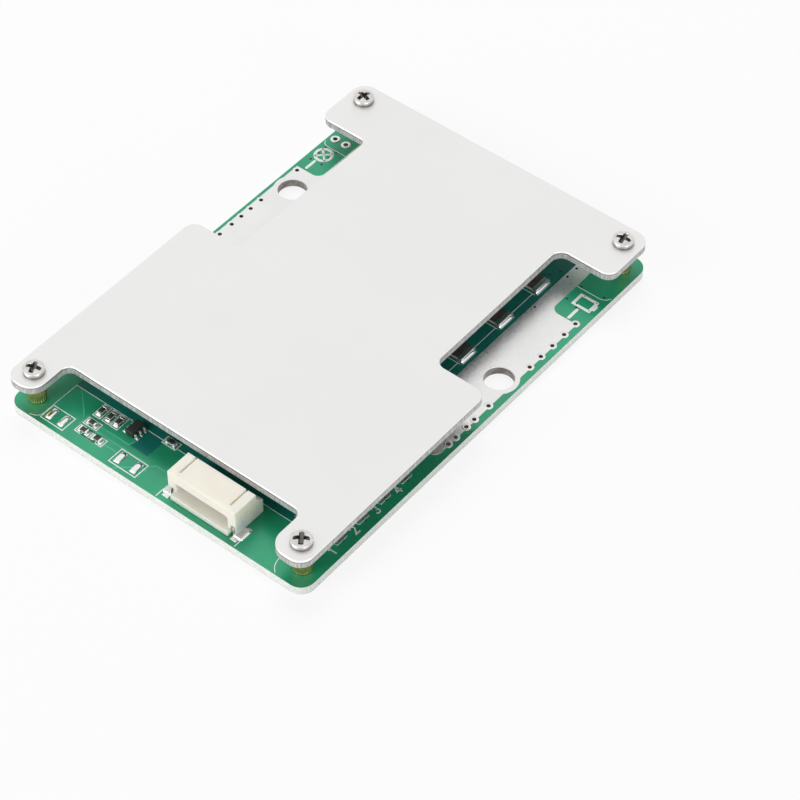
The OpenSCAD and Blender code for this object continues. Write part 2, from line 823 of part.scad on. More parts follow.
// The seat of a solder tab: a slot up into a side wall, open to the front and below, and
// a gap under the wall for the tab's foot.
module solder_tab_seat(side) {
    mirror([side > 0 ? 0 : 1, 0, 0]) {
        translate([socket_w/2 - tab_seat_in - tab_seat_w, -over, -over])
            cube([tab_seat_w, solder_tab_l + over, tab_seat_h + over]);
        translate([socket_w/2 - tab_seat_in - tab_seat_w, -over, -over])
            cube([tab_seat_in + tab_seat_w + over, solder_tab_l + over,
                pad_t + solder_tab_t + play + over]);
    }
}

// The tabs: a leg up into the wall and a foot out under it.
module socket_tabs() {
    leg = tab_seat_in + tab_seat_w/2;
    color([0.75, 0.72, 0.65]) in_socket() for (side = [-1, 1]) mirror([side > 0 ? 0 : 1, 0, 0])
        translate([socket_w/2, solder_tab_l - 0.1, pad_t])
            rotate([90, 0, 0]) linear_extrude(solder_tab_l)
                polygon([[-leg, 0], [solder_foot, 0], [solder_foot, solder_tab_t],
                    [solder_tab_t - leg, solder_tab_t],
                    [solder_tab_t - leg, solder_tab_h - pad_t], [-leg, solder_tab_h - pad_t]]);
}

// Each pin: a straight length through the back wall, a leg down behind it and a foot.
module socket_pin_shapes() {
    depth = socket_l - socket_rear;
    for (x = centred(pin_count, pin_pitch))
        translate([x + pin_w/2, 0, 0]) rotate([90, 0, -90]) linear_extrude(pin_w)
            polygon([for (p = [[pin_tip, pin_z - pin_w/2], [socket_l + 0.3, pin_z - pin_w/2],
                [socket_l + 0.3, pad_t], [socket_l + 0.3 + pin_foot, pad_t],
                [socket_l + 0.3 + pin_foot, pad_t + pin_w/2],
                [socket_l + 0.3 + pin_w, pad_t + pin_w/2],
                [socket_l + 0.3 + pin_w, pin_z + pin_w/2],
                [pin_tip, pin_z + pin_w/2]]) [-p[0], p[1]]]);
}

module socket_pins() {
    color([0.85, 0.8, 0.6]) in_socket() socket_pin_shapes();
}

// ---------------------------------------------------------------- small parts

module small_transistor_bodies() {
    color([0.1, 0.1, 0.11]) each_small_transistor() difference() {
        translate([0, 0, pad_z + 0.1]) moulded(sot_l, sot_w, sot_h - 0.1, 0.08);
        sot_leads();
    }
}

module small_transistor_leads() {
    color([0.85, 0.85, 0.85]) each_small_transistor() sot_leads();
}

// Puts a small transistor at each of its places.
module each_small_transistor() {
    for (p = SMALL_TRANSISTORS) at(p) children();
    for (y = tap_y) translate([right - balance_sot_right, y + balance_sot_back, 0]) children();
}

module sot_leads() {
    for (x = centred(3, sot_pitch), side = [-1, 1])
        translate([x, side*sot_w/2, pad_z]) rotate([0, 0, side*90])
            gull_lead(sot_lead_reach, sot_h*0.4, 0.35, sot_lead[0], sot_lead[1]);
}

module chip_resistor_bodies() {
    color([0.13, 0.13, 0.13]) for (p = CHIP_RESISTORS) at(p)
        chip_body(chip_l, chip_w, chip_t, chip_cap_l);
}

module chip_resistor_ends() {
    color([0.86, 0.86, 0.86]) for (p = CHIP_RESISTORS) at(p)
        chip_ends(chip_l, chip_w, chip_t, chip_cap_l);
}

module chip_capacitor_bodies() {
    color([0.55, 0.42, 0.32]) for (p = CHIP_CAPACITORS) at(p)
        chip_body(chip_l, chip_w, chip_w, chip_cap_l);
}

module chip_capacitor_ends() {
    color([0.86, 0.86, 0.86]) for (p = CHIP_CAPACITORS) at(p)
        chip_ends(chip_l, chip_w, chip_w, chip_cap_l);
}

module balance_resistor_bodies() {
    color([0.13, 0.13, 0.13]) for (y = tap_y) translate([right - balance_right, y, 0])
        chip_body(balance_l, balance_w, balance_t, 0.5);
}

module balance_resistor_ends() {
    color([0.86, 0.86, 0.86]) for (y = tap_y) translate([right - balance_right, y, 0])
        chip_ends(balance_l, balance_w, balance_t, 0.5);
}

module protection_chip_body() {
    color([0.11, 0.11, 0.12]) at([PROTECTION_CHIP[0], PROTECTION_CHIP[1], 0]) difference() {
        translate([0, 0, pad_z + 0.15]) moulded(ic_l, ic_w, ic_h);
        ic_leads();
    }
}

module protection_chip_leads() {
    color([0.82, 0.82, 0.82]) at([PROTECTION_CHIP[0], PROTECTION_CHIP[1], 0]) ic_leads();
}

module ic_leads() {
    for (x = centred(ic_side_pins, ic_pitch), side = [-1, 1])
        translate([x, side*ic_w/2, pad_z]) rotate([0, 0, side*90])
            gull_lead(ic_lead_reach, ic_h*0.5, 0.6, ic_lead[0], ic_lead[1]);
}

// ---------------------------------------------------------------- output

circuit_board();
load_plane();
battery_plane();
plated_rings();
tap_pads();
component_pads();
power_pads();
solder_bumps();
heatsink_plate();
plate_screws();
standoffs();
thermal_pads();
power_transistor_bodies();
power_transistor_tabs();
power_transistor_leads();
shunt_bodies();
shunt_end_caps();
socket_housing();
socket_pins();
socket_tabs();
small_transistor_bodies();
small_transistor_leads();
chip_resistor_bodies();
chip_resistor_ends();
chip_capacitor_bodies();
chip_capacitor_ends();
balance_resistor_bodies();
balance_resistor_ends();
protection_chip_body();
protection_chip_leads();
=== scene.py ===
"""Looks for a battery management board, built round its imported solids.

The board lies flat on Z = 0 with its centre at X = Y = 0 and its lead socket towards -Y.
Every length below is in metres unless its name or comment says millimetres.
"""

import math
from collections import namedtuple

import bmesh
import bpy
import numpy as np
from bpy.props import FloatProperty, FloatVectorProperty, IntProperty, PointerProperty
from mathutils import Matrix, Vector


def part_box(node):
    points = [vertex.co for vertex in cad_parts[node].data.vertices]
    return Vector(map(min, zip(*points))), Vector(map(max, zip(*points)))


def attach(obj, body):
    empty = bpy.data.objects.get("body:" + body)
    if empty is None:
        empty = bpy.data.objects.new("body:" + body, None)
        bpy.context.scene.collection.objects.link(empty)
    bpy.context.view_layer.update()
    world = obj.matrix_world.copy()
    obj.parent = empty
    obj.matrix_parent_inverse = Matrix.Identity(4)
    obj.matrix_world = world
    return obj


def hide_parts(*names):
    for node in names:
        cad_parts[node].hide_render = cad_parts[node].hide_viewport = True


bl_info = {
    "name": "Battery management board",
    "version": (1, 0, 0),
    "blender": (4, 5, 0),
    "location": "3D View > Sidebar > Board",
    "description": "Dresses the solids of a battery management board and lights them",
    "category": "Object",
}

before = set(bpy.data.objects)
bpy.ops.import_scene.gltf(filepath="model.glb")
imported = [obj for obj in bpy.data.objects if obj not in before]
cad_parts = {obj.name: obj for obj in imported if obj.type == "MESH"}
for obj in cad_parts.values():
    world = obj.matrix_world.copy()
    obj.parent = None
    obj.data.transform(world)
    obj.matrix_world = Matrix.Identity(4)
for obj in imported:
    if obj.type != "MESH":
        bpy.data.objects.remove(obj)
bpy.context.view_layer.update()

MM = 0.001
WELD_DIGITS = 6
WELD = 0.4e-6
ROOT = "root"

MASK_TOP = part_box("circuit_board")[1].z
PAD_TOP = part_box("tap_pads")[1].z
PLATE_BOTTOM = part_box("heatsink_plate")[0].z
PLATE_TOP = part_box("heatsink_plate")[1].z
BOARD_LOW, BOARD_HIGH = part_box("circuit_board")


# How far the plated rings stand proud of the board on its underside.
RING_PROUD = 0.02*MM
# Holes narrower than the first are the small plated ones, and wider than the second lugs'.
SMALL_HOLE, LUG_HOLE = 1.0*MM, 4.0*MM


# ------------------------------------------------------------------ settings

def colour(name, description, default):
    """A colour that a user can change."""
    return FloatVectorProperty(name=name, description=description, subtype="COLOR",
                               default=default, min=0.0, max=1.0)


def length(name, description, default_mm):
    """A length that a user can change, given in millimetres and kept in metres."""
    return FloatProperty(name=name, description=description, unit="LENGTH", precision=4,
                         default=default_mm*MM, min=0.0)


class BoardColours(bpy.types.PropertyGroup):
    """Colours of the circuit board and its print."""

    mask: colour("Solder mask", "Green mask where copper lies under it", (0.022, 0.365, 0.185))
    # Painted shade as well: this darker mask also covers the whole board under the plate.
    bare_and_shaded_mask: colour("Bare mask", "Green mask with no copper under it", (0.010, 0.190, 0.150))
    trace: colour("Covered copper", "Green mask over a raised track", (0.055, 0.490, 0.275))
    core: colour("Glass epoxy", "The board's cut edge", (0.92, 0.94, 0.90))
    ink: colour("Print", "The white print on the mask", (0.92, 0.93, 0.92))
    # Painted shade: the dark spot stands for the shade inside a covered hole.
    via_dark: colour("Covered hole", "The dark spot of a covered hole", (0.012, 0.030, 0.028))


class MetalColours(bpy.types.PropertyGroup):
    """Colours of the bare metals."""

    aluminium: colour("Aluminium", "The heatsink plate", (0.83, 0.825, 0.82))
    cut_wall: colour("Cut wall", "The sheared walls of the plate", (0.62, 0.62, 0.61))
    # Painted shade: the dark line along the crease where the rounded edge meets the wall.
    crease_shade: colour("Cut line", "The dark line where the shear began", (0.20, 0.20, 0.20))
    # Painted shade: the dark colour of hole walls in the tin and of the screws' crosses and feet.
    hollow: colour("Hollow", "Dull metal inside holes and recesses", (0.16, 0.15, 0.14))
    tin: colour("Tin", "Tinned copper on the board", (0.84, 0.835, 0.83))
    solder: colour("Solder", "Solder fillets and mounds", (0.86, 0.86, 0.86))
    nickel: colour("Nickel", "The plate screws", (0.74, 0.72, 0.70))
    brass: colour("Brass", "The standoffs", (0.74, 0.58, 0.24))
    leads: colour("Leads", "Tinned leads and pins", (0.78, 0.77, 0.74))


class PartColours(bpy.types.PropertyGroup):
    """Colours of the moulded and ceramic parts."""

    nylon: colour("Nylon", "The lead socket", (0.93, 0.885, 0.785))
    epoxy: colour("Moulded epoxy", "Transistors and the protection chip", (0.022, 0.022, 0.024))
    overcoat: colour("Resistor top", "The dark coat on a resistor", (0.028, 0.028, 0.030))
    shunt: colour("Shunt coat", "The brownish coat on a shunt resistor", (0.060, 0.048, 0.042))
    ceramic: colour("Ceramic", "The white sides of a resistor", (0.66, 0.64, 0.60))
    capacitor: colour("Capacitor", "The ceramic of a chip capacitor", (0.36, 0.26, 0.20))
    silicone: colour("Silicone", "The thermal pads", (0.42, 0.45, 0.50))


class EdgeSizes(bpy.types.PropertyGroup):
    """How far the edges are rounded."""

    plate: length("Plate edge", "Rounding of the heatsink plate's top edges", 0.42)
    board: length("Board edge", "Rounding of the board's cut edges", 0.07)
    copper: length("Copper edge", "Rounding of the tinned copper's edges", 0.04)
    chip: length("Chip edge", "Rounding of the small chips' edges", 0.04)
    moulding: length("Moulding edge", "Rounding of the transistors' edges", 0.10)
    socket: length("Socket edge", "Rounding of the socket's edges", 0.09)
    lead: length("Lead edge", "Rounding of leads and pins", 0.04)


class PrintSizes(bpy.types.PropertyGroup):
    """Sizes of the print and the tracks on the board."""

    line: length("Print line", "Width of a printed line", 0.17)
    ink: length("Print thickness", "Height of the print over the mask", 0.025)
    fine: length("Fine line", "Width of the long printed borders", 0.12)
    bold: length("Bold line", "Width of a line of a large sign", 0.52)
    digit: length("Digit height", "Height of a printed digit", 1.5)
    track: length("Track", "Width of a raised track under the mask", 0.28)


class FixingSizes(bpy.types.PropertyGroup):
    """Sizes of what the solids leave plain on the screws and standoffs."""

    thread_pitch: length("Thread pitch", "Pitch of the plate screws", 0.4)
    thread_depth: length("Thread depth", "Depth of the plate screws' thread", 0.16)
    cross_width: length("Cross width", "Width of the recess's arms", 0.66)
    cross_reach: length("Cross reach", "Length of each arm from the centre", 1.25)
    cross_depth: length("Cross depth", "Depth of the recess", 0.75)
    knurls: IntProperty(name="Knurls", description="Ridges round a standoff", default=24)
    knurl_depth: length("Knurl depth", "Depth of a standoff's ridges", 0.09)


class StudioSettings(bpy.types.PropertyGroup):
    """The camera, the floor and the lights."""

    azimuth: FloatProperty(name="Azimuth", description="Camera's turn from the front to the right",
                           subtype="ANGLE", default=math.radians(38.98))
    elevation: FloatProperty(name="Elevation", description="Camera's height as an angle",
                             subtype="ANGLE", default=math.radians(47.94))
    distance: length("Distance", "From the camera to the point it looks at", 445.1)
    aim_right: length("Aim right", "Where the camera looks, right of the board's centre", 17.1)
    aim_front: length("Aim front", "Where the camera looks, in front of the centre", 4.9)
    lens: FloatProperty(name="Lens", description="Focal length in millimetres", default=129.3)
    sky: FloatProperty(name="Sky", description="Strength of the even light", default=0.28)
    key: FloatProperty(name="Key lamp", description="Watts of the lamp behind", default=5.4)
    fill: FloatProperty(name="Fill lamp", description="Watts of the lamp in front", default=4.4)
    side: FloatProperty(name="Side lamp", description="Watts of the low lamp at the right",
                        default=2.4)
    floor: colour("Floor", "The pale floor", (0.90, 0.90, 0.90))


# ------------------------------------------------------------------ reading the frame

def welded(node):
    """A CAD node's points with doubled points merged, and its triangles by point number."""
    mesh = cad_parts[node].data
    points = np.empty(3*len(mesh.vertices), np.float32)
    mesh.vertices.foreach_get("co", points)
    mesh.calc_loop_triangles()
    corners = np.empty(3*len(mesh.loop_triangles), np.int32)
    mesh.loop_triangles.foreach_get("vertices", corners)
    places = points.astype(float).reshape(-1, 3).round(WELD_DIGITS)
    merged, number = np.unique(places, axis=0, return_inverse=True)
    return merged, number.reshape(-1)[corners].reshape(-1, 3)


def boxes_of(points, triangles):
    """Lowest and highest corners of each connected group of triangles.

    Every point takes the lowest number in its triangles until none changes, and the points
    of one group then share a number.
    """
    label = np.arange(len(points))
    while True:
        lowest = np.repeat(label[triangles].min(axis=1), 3)
        spread = label.copy()
        np.minimum.at(spread, triangles.ravel(), lowest)
        if np.array_equal(spread, label):
            break
        label = spread
    used = np.unique(triangles)
    groups = [points[used][label[used] == name] for name in np.unique(label[used])]
    lows = np.array([group.min(axis=0) for group in groups])
    highs = np.array([group.max(axis=0) for group in groups])
    return lows, highs


def solid_boxes(node):
    """Lowest and highest corners of each separate solid of a CAD node."""
    return boxes_of(*welded(node))


def round_holes(node):
    """Centres and diameters of a flat node's upright round holes, from its upright walls."""
    points, triangles = welded(node)
    a, b, c = (points[triangles[:, i]] for i in range(3))
    normal = np.cross(b - a, c - a)
    upright = np.abs(normal[:, 2]) < 0.5*np.linalg.norm(normal, axis=1)
    lows, highs = boxes_of(points, triangles[upright])
    size = highs - lows
    is_round = (np.abs(size[:, 0] - size[:, 1]) < 0.02*size[:, 0]) & (size[:, 0] < 8*MM)
    centres = ((lows + highs)/2)[is_round]
    return centres[:, :2], size[is_round, 0]


# ------------------------------------------------------------------ making pieces

def grid_quads(rows, columns, close_rows, close_columns):
    """Quads between the neighbours of a grid whose points are counted row by row."""
    row = np.arange(rows if close_rows else rows - 1)[:, None]
    column = np.arange(columns if close_columns else columns - 1)[None, :]
    row, column = np.broadcast_arrays(row, column)
    below, beside = (row + 1) % rows, (column + 1) % columns
    quads = [row*columns + column, row*columns + beside,
             below*columns + beside, below*columns + column]
    return np.stack(quads, axis=-1).reshape(-1, 4)


def shells(grids, close_rows=False, close_columns=True):
    """Points and quads of equal grids, given as an array of (shell, row, column, xyz)."""
    count, rows, columns, _ = grids.shape
    one = grid_quads(rows, columns, close_rows, close_columns)
    quads = one[None] + (np.arange(count)*rows*columns)[:, None, None]
    return grids.reshape(-1, 3), quads.reshape(-1, 4)


def joined(parts):
    """One set of points and quads out of several."""
    starts = np.cumsum([0] + [len(points) for points, _ in parts[:-1]])
    points = np.concatenate([points for points, _ in parts])
    quads = np.concatenate([quads + start for (_, quads), start in zip(parts, starts)])
    return points, quads


def mounted(name, mesh, material, nodes=()):
    """Puts a mesh on the board's body with its finish, standing for the given CAD nodes."""
    piece = bpy.data.objects.new(name, mesh)
    bpy.context.scene.collection.objects.link(piece)
    mesh.materials.append(material)
    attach(piece, ROOT)
    if nodes:
        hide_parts(*nodes)
    return piece


def new_piece(name, shape, material, nodes=(), crease=35):
    """A piece from points and quads: poles and seams are closed and faces turned outwards."""
    points, quads = shape
    mesh = bpy.data.meshes.new(name)
    mesh.from_pydata(points.tolist(), [], quads.tolist())
    work = bmesh.new()
    work.from_mesh(mesh)
    bmesh.ops.remove_doubles(work, verts=work.verts, dist=WELD)
    bmesh.ops.dissolve_degenerate(work, edges=work.edges, dist=WELD/4)
    bmesh.ops.recalc_face_normals(work, faces=work.faces)
    work.to_mesh(mesh)
    work.free()
    mesh.shade_smooth()
    mesh.set_sharp_from_angle(angle=math.radians(crease))
    return mounted(name, mesh, material, nodes)


def rounded_copy(node, material, edge, segments=2, lift=0.0, share=None):
    """A CAD node's copy with its flat faces whole again and its edges rounded by edge metres.

    lift raises the points that lie on Z = 0. share, if given, takes the heights of the
    edges' middles and gives back the part of the rounding that each edge gets.
    """
    points, triangles = welded(node)
    points[:, 2] = np.where(points[:, 2] < WELD, lift, points[:, 2])
    mesh = bpy.data.meshes.new(node + "_finished")
    mesh.from_pydata(points.tolist(), [], triangles.tolist())
    work = bmesh.new()
    work.from_mesh(mesh)
    bmesh.ops.dissolve_limit(work, angle_limit=math.radians(1), verts=work.verts,
                             edges=work.edges)
    work.to_mesh(mesh)
    work.free()
    mesh.shade_smooth()
    piece = mounted(node + "_finished", mesh, material, [node])
    rounding = piece.modifiers.new("rounded edges", "BEVEL")
    rounding.width = edge
    rounding.segments = segments
    rounding.limit_method = "ANGLE"
    rounding.angle_limit = math.radians(35)
    if share is not None:
        weigh_edges(mesh, share)
        rounding.limit_method = "WEIGHT"
    evening = piece.modifiers.new("even shading", "WEIGHTED_NORMAL")
    evening.keep_sharp = True
    return piece


def weigh_edges(mesh, share):
    """Gives each sharp edge of a mesh the rounding that share has for its middle's height."""
    mesh.set_sharp_from_angle(angle=math.radians(35))
    count = len(mesh.edges)
    ends, sharp = np.empty(2*count, np.int32), np.empty(count, bool)
    mesh.edges.foreach_get("vertices", ends)
    mesh.edges.foreach_get("use_edge_sharp", sharp)
    points = np.empty(3*len(mesh.vertices), np.float32)
    mesh.vertices.foreach_get("co", points)
    middles = points.reshape(-1, 3)[ends.reshape(-1, 2), 2].mean(axis=1)
    weights = mesh.attributes.new("bevel_weight_edge", "FLOAT", "EDGE")
    weights.data.foreach_set("value", (share(middles)*sharp).astype(np.float32))
    mesh.edges.foreach_set("use_edge_sharp", np.zeros(count, bool))


# ------------------------------------------------------------------ surfaces

def turned(centres, profile, segments=48, closed=False, ripple=None):
    """Profiles turned about upright axes: x = cx + r cos a, y = cy + r sin a, z = height.

    profile is a list of (radius, height) in metres. ripple, an array of (row, column), is
    added to the radius. A closed profile makes a ring, an open one starts and ends at r = 0.
    """
    profile = np.asarray(profile, float)
    angle = np.arange(segments)*2*np.pi/segments
    radius = profile[:, :1] + (0 if ripple is None else ripple)
    x = radius*np.cos(angle)
    y = radius*np.sin(angle)
    z = np.broadcast_to(profile[:, 1:], x.shape)
    one = np.stack([x, y, z], axis=-1)
    shift = np.column_stack([centres, np.zeros(len(centres))])
    return shells(one[None] + shift[:, None, None, :], close_rows=closed)


def spool(centres, bore, barrel, top_ring, low_ring, top, face):
    """A plated hole: a barrel from Z = 0 to top with a thin ring on each side of the board."""
    lap = 0.03*MM
    profile = [(bore, 0), (bore, top), (bore + 0.05*MM, top + face),
               (top_ring - 0.09*MM, top + face), (top_ring, top - lap), (barrel, top - lap),
               (barrel, lap), (low_ring, lap), (low_ring, 0)]
    return turned(centres, profile, segments=32, closed=True)


def stroke(path, width, low, high, closed=False):
    """A line of ink or copper along a path: at each station the cross-section runs across it.

    path is a list of (x, y) in millimetres. The stations are the path's points, mitred, and
    at a free end three more, where the half width follows a quarter circle down to nothing.
    """
    path = np.asarray(path, float)*MM
    half = width/2
    steps = np.diff(np.vstack([path, path[:1]]) if closed else path, axis=0)
    steps = steps/np.linalg.norm(steps, axis=1, keepdims=True)
    across = np.column_stack([-steps[:, 1], steps[:, 0]])
    if closed:
        before, after = np.roll(across, 1, axis=0), across
    else:
        before, after = np.vstack([across[:1], across]), np.vstack([across, across[-1:]])
    mitre = (before + after)/(1 + (before*after).sum(axis=1))[:, None]
    centre, side = path, mitre*half
    if not closed:
        turn = np.radians([90, 60, 30])[:, None]
        start = path[0] - steps[0]*half*np.sin(turn)
        tip = path[-1] + steps[-1]*half*np.sin(turn[::-1])
        centre = np.vstack([start, path, tip])
        side = np.vstack([across[0]*half*np.cos(turn), side, across[-1]*half*np.cos(turn[::-1])])
    lateral = np.array([-1, -1, -0.8, 0.8, 1, 1])
    height = low + (high - low)*np.array([0, 0.6, 1, 1, 0.6, 0])
    xy = centre[:, None, :] + side[:, None, :]*lateral[None, :, None]
    z = np.broadcast_to(height, xy.shape[:2])[..., None]
    return shells(np.concatenate([xy, z], axis=-1)[None], close_rows=closed)


def mounds(centres, sizes, low, height, fullness=4.0, segments=40):
    """Mounds of solder on rectangular pads.

    The foot is a superellipse |x/a|^n + |y/b|^n = 1, and ring v of it is scaled by cos v
    and stands at height sin v, for v from 0 to a right angle. A point under the middle
    closes the foot.
    """
    angle = np.arange(segments)*2*np.pi/segments
    c, s = np.cos(angle), np.sin(angle)
    reach = (np.abs(c)**fullness + np.abs(s)**fullness)**(-1/fullness)
    foot = np.stack([c*reach, s*reach], axis=-1)
    v = np.linspace(0, np.pi/2, 8)
    scale = np.concatenate([[0], np.cos(v)**0.6])
    rise = np.concatenate([[0], np.sin(v)])
    xy = foot[None, None]*scale[None, :, None, None]*(np.asarray(sizes)/2)[:, None, None, :]
    xy = xy + np.asarray(centres)[:, None, None, :]
    z = low + np.asarray(height).reshape(-1, 1)*rise[None, :]
    z = np.broadcast_to(z[:, :, None], xy.shape[:3])[..., None]
    return shells(np.concatenate([xy, z], axis=-1))


def fillets(feet, outward, widths, reach, height, low):
    """Solder fillets against end caps: across the cap by u, down the hollow slope by v.

    At slope place v the solder stands (1 - v)^2.4 of its height, reach*v from the cap. All
    of it shrinks by the root of 1 - u^6 towards the cap's corners, where it closes.
    """
    v = np.linspace(0, 1, 8)
    outline = np.concatenate([np.column_stack([reach*v, height*(1 - v)**2.4]),
                              [[-0.04*MM, 0], [-0.04*MM, height]]])
    u = np.linspace(-1, 1, 13)
    shrink = np.sqrt(np.clip(1 - u**6, 0, 1))
    across = np.column_stack([-outward[:, 1], outward[:, 0]])
    sides = across[:, None, :]*(widths/2)[:, None, None]*u[None, :, None]
    out = outward[:, None, None, :]*(shrink[:, None]*outline[:, 0])[None, :, :, None]
    xy = feet[:, None, None, :] + sides[:, :, None, :] + out
    z = low + shrink[:, None]*outline[:, 1]
    z = np.broadcast_to(z, xy.shape[:3])[..., None]
    return shells(np.concatenate([xy, z], axis=-1))


# ------------------------------------------------------------------ shader groups

# Numbers of the mix node's colour sockets, which share their names with others.
MIX_FIRST, MIX_SECOND, MIX_RESULT = 6, 7, 2

def add_node(tree, kind, inputs=None, **settings):
    """A shader node with its settings, and a value or a link for each named input."""
    made = tree.nodes.new(kind)
    for key, value in settings.items():
        setattr(made, key, value)
    for key, value in (inputs or {}).items():
        if isinstance(value, bpy.types.NodeSocket):
            tree.links.new(value, made.inputs[key])
        else:
            made.inputs[key].default_value = value
    return made


def new_group(name, inputs, outputs):
    """A shader node group with the named inputs, their defaults, and outputs."""
    group = bpy.data.node_groups.new(name, "ShaderNodeTree")
    for label, value in inputs.items():
        kind = "NodeSocketFloat" if isinstance(value, float) else "NodeSocketColor"
        socket = group.interface.new_socket(label, in_out="INPUT", socket_type=kind)
        socket.default_value = value
    for label, kind in outputs.items():
        group.interface.new_socket(label, in_out="OUTPUT", socket_type=kind)
    return group, group.nodes.new("NodeGroupInput"), group.nodes.new("NodeGroupOutput")


def made_once(name):
    """Lets a node group be built only the first time that it is asked for."""
    def wrap(build):
        return lambda: bpy.data.node_groups.get(name) or build(name)
    return wrap


def mix_colours(tree, factor, first, second):
    """The blend of two colours, each a socket or (red, green, blue), by a factor."""
    mixed = add_node(tree, "ShaderNodeMix", {"Factor": factor}, data_type="RGBA")
    for number, value in ((MIX_FIRST, first), (MIX_SECOND, second)):
        if isinstance(value, bpy.types.NodeSocket):
            tree.links.new(value, mixed.inputs[number])
        else:
            mixed.inputs[number].default_value = (*value, 1.0)
    return mixed.outputs[MIX_RESULT]


@made_once("fine grain")
def grain_group(name):
    """Fine irregular grain: a mask, a roughness between two values, and a height."""
    group, given, result = new_group(
        name, {"Scale": 3000.0, "Smooth": 0.3, "Rough": 0.4},
        {"Mask": "NodeSocketFloat", "Roughness": "NodeSocketFloat", "Height": "NodeSocketFloat"})
    place = add_node(group, "ShaderNodeTexCoord")
    noise = add_node(group, "ShaderNodeTexNoise", {
        "Vector": place.outputs["Object"], "Scale": given.outputs["Scale"], "Detail": 3.0})
    rough = add_node(group, "ShaderNodeMapRange", {
        "Value": noise.outputs["Fac"], "From Min": 0.3, "From Max": 0.7,
        "To Min": given.outputs["Smooth"], "To Max": given.outputs["Rough"]})
    group.links.new(noise.outputs["Fac"], result.inputs["Mask"])
    group.links.new(rough.outputs["Result"], result.inputs["Roughness"])
    group.links.new(noise.outputs["Fac"], result.inputs["Height"])
    return group


@made_once("soft tint")
def tint_group(name):
    """A colour that drifts towards a second one in soft patches."""
    group, given, result = new_group(
        name, {"Colour": (0.5, 0.5, 0.5, 1.0), "Drift": (0.4, 0.4, 0.4, 1.0),
                      "Scale": 150.0},
        {"Colour": "NodeSocketColor"})
    place = add_node(group, "ShaderNodeTexCoord")
    noise = add_node(group, "ShaderNodeTexNoise", {
        "Vector": place.outputs["Object"], "Scale": given.outputs["Scale"], "Detail": 2.0})
    share = add_node(group, "ShaderNodeMapRange", {
        "Value": noise.outputs["Fac"], "From Min": 0.35, "From Max": 0.65})
    mixed = mix_colours(group, share.outputs["Result"], given.outputs["Colour"],
                        given.outputs["Drift"])
    group.links.new(mixed, result.inputs["Colour"])
    return group


@made_once("slow swell")
def swell_group(name):
    """The slow swell of a surface that was once liquid, as a height."""
    group, given, result = new_group(name, {"Scale": 400.0},
                                     {"Height": "NodeSocketFloat"})
    place = add_node(group, "ShaderNodeTexCoord")
    noise = add_node(group, "ShaderNodeTexNoise", {
        "Vector": place.outputs["Object"], "Scale": given.outputs["Scale"], "Detail": 0.5})
    group.links.new(noise.outputs["Fac"], result.inputs["Height"])
    return group


# The plate's wall begins this far below its top face, at a painted shade line of twice this reach.
WALL_DEPTH = 0.40*MM
CREASE_SHADE_REACH = 0.07*MM


@made_once("cut wall")
def wall_group(name):
    """The plate's sheared wall below its rounded edge: streaked and duller than the face.

    The wall is where Z lies between the plate's faces; the line, its topmost part, is painted
    shade.
    """
    grey = (0.5, 0.5, 0.5, 1.0)
    group, given, result = new_group(
        name, {"Face": grey, "Wall": grey, "Line": grey, "Face Roughness": 0.45},
        {"Colour": "NodeSocketColor", "Metallic": "NodeSocketFloat",
         "Roughness": "NodeSocketFloat"})
    low, high = PLATE_BOTTOM + 0.05*MM, PLATE_TOP - WALL_DEPTH
    place = add_node(group, "ShaderNodeTexCoord")
    axes = add_node(group, "ShaderNodeSeparateXYZ", {"Vector": place.outputs["Object"]})
    wall = add_node(group, "ShaderNodeMath", {
        0: axes.outputs["Z"], 1: (low + high)/2, 2: (high - low)/2}, operation="COMPARE")
    # Painted shade along the crease under the rounded edge.
    line = add_node(group, "ShaderNodeMath", {
        0: axes.outputs["Z"], 1: high, 2: CREASE_SHADE_REACH}, operation="COMPARE")
    stretched = add_node(group, "ShaderNodeMapping", {
        "Vector": place.outputs["Object"], "Scale": (3800.0, 3800.0, 500.0)})
    noise = add_node(group, "ShaderNodeTexNoise", {
        "Vector": stretched.outputs["Vector"], "Scale": 1.0, "Detail": 2.0})
    shade = add_node(group, "ShaderNodeMapRange", {
        "Value": noise.outputs["Fac"], "From Min": 0.35, "From Max": 0.65,
        "To Min": 0.62, "To Max": 1.0})
    streaked = add_node(group, "ShaderNodeVectorMath", {
        0: given.outputs["Wall"], "Scale": shade.outputs["Result"]}, operation="SCALE")
    walled = mix_colours(group, wall.outputs["Value"], given.outputs["Face"],
                         streaked.outputs["Vector"])
    crease_shaded = mix_colours(group, line.outputs["Value"], walled, given.outputs["Line"])
    metallic = add_node(group, "ShaderNodeMapRange", {
        "Value": wall.outputs["Value"], "To Min": 1.0, "To Max": 0.3})
    roughness = add_node(group, "ShaderNodeMix", {
        "Factor": wall.outputs["Value"], "A": given.outputs["Face Roughness"], "B": 0.6})
    group.links.new(crease_shaded, result.inputs["Colour"])
    group.links.new(metallic.outputs["Result"], result.inputs["Metallic"])
    group.links.new(roughness.outputs["Result"], result.inputs["Roughness"])
    return group


@made_once("inside area")
def area_group(name):
    """A mask that is 1 inside an upright box given by its middle and half sizes, else 0."""
    group, given, result = new_group(
        name, {"Middle X": 0.0, "Middle Y": 0.0, "Reach X": 0.01, "Reach Y": 0.01},
        {"Mask": "NodeSocketFloat"})
    place = add_node(group, "ShaderNodeTexCoord")
    axes = add_node(group, "ShaderNodeSeparateXYZ", {"Vector": place.outputs["Object"]})
    within = [add_node(group, "ShaderNodeMath", {
        0: axes.outputs[axis], 1: given.outputs["Middle " + axis],
        2: given.outputs["Reach " + axis]}, operation="COMPARE") for axis in "XY"]
    both = add_node(group, "ShaderNodeMath", {
        0: within[0].outputs["Value"], 1: within[1].outputs["Value"]}, operation="MULTIPLY")
    group.links.new(both.outputs["Value"], result.inputs["Mask"])
    return group


# ------------------------------------------------------------------ materials

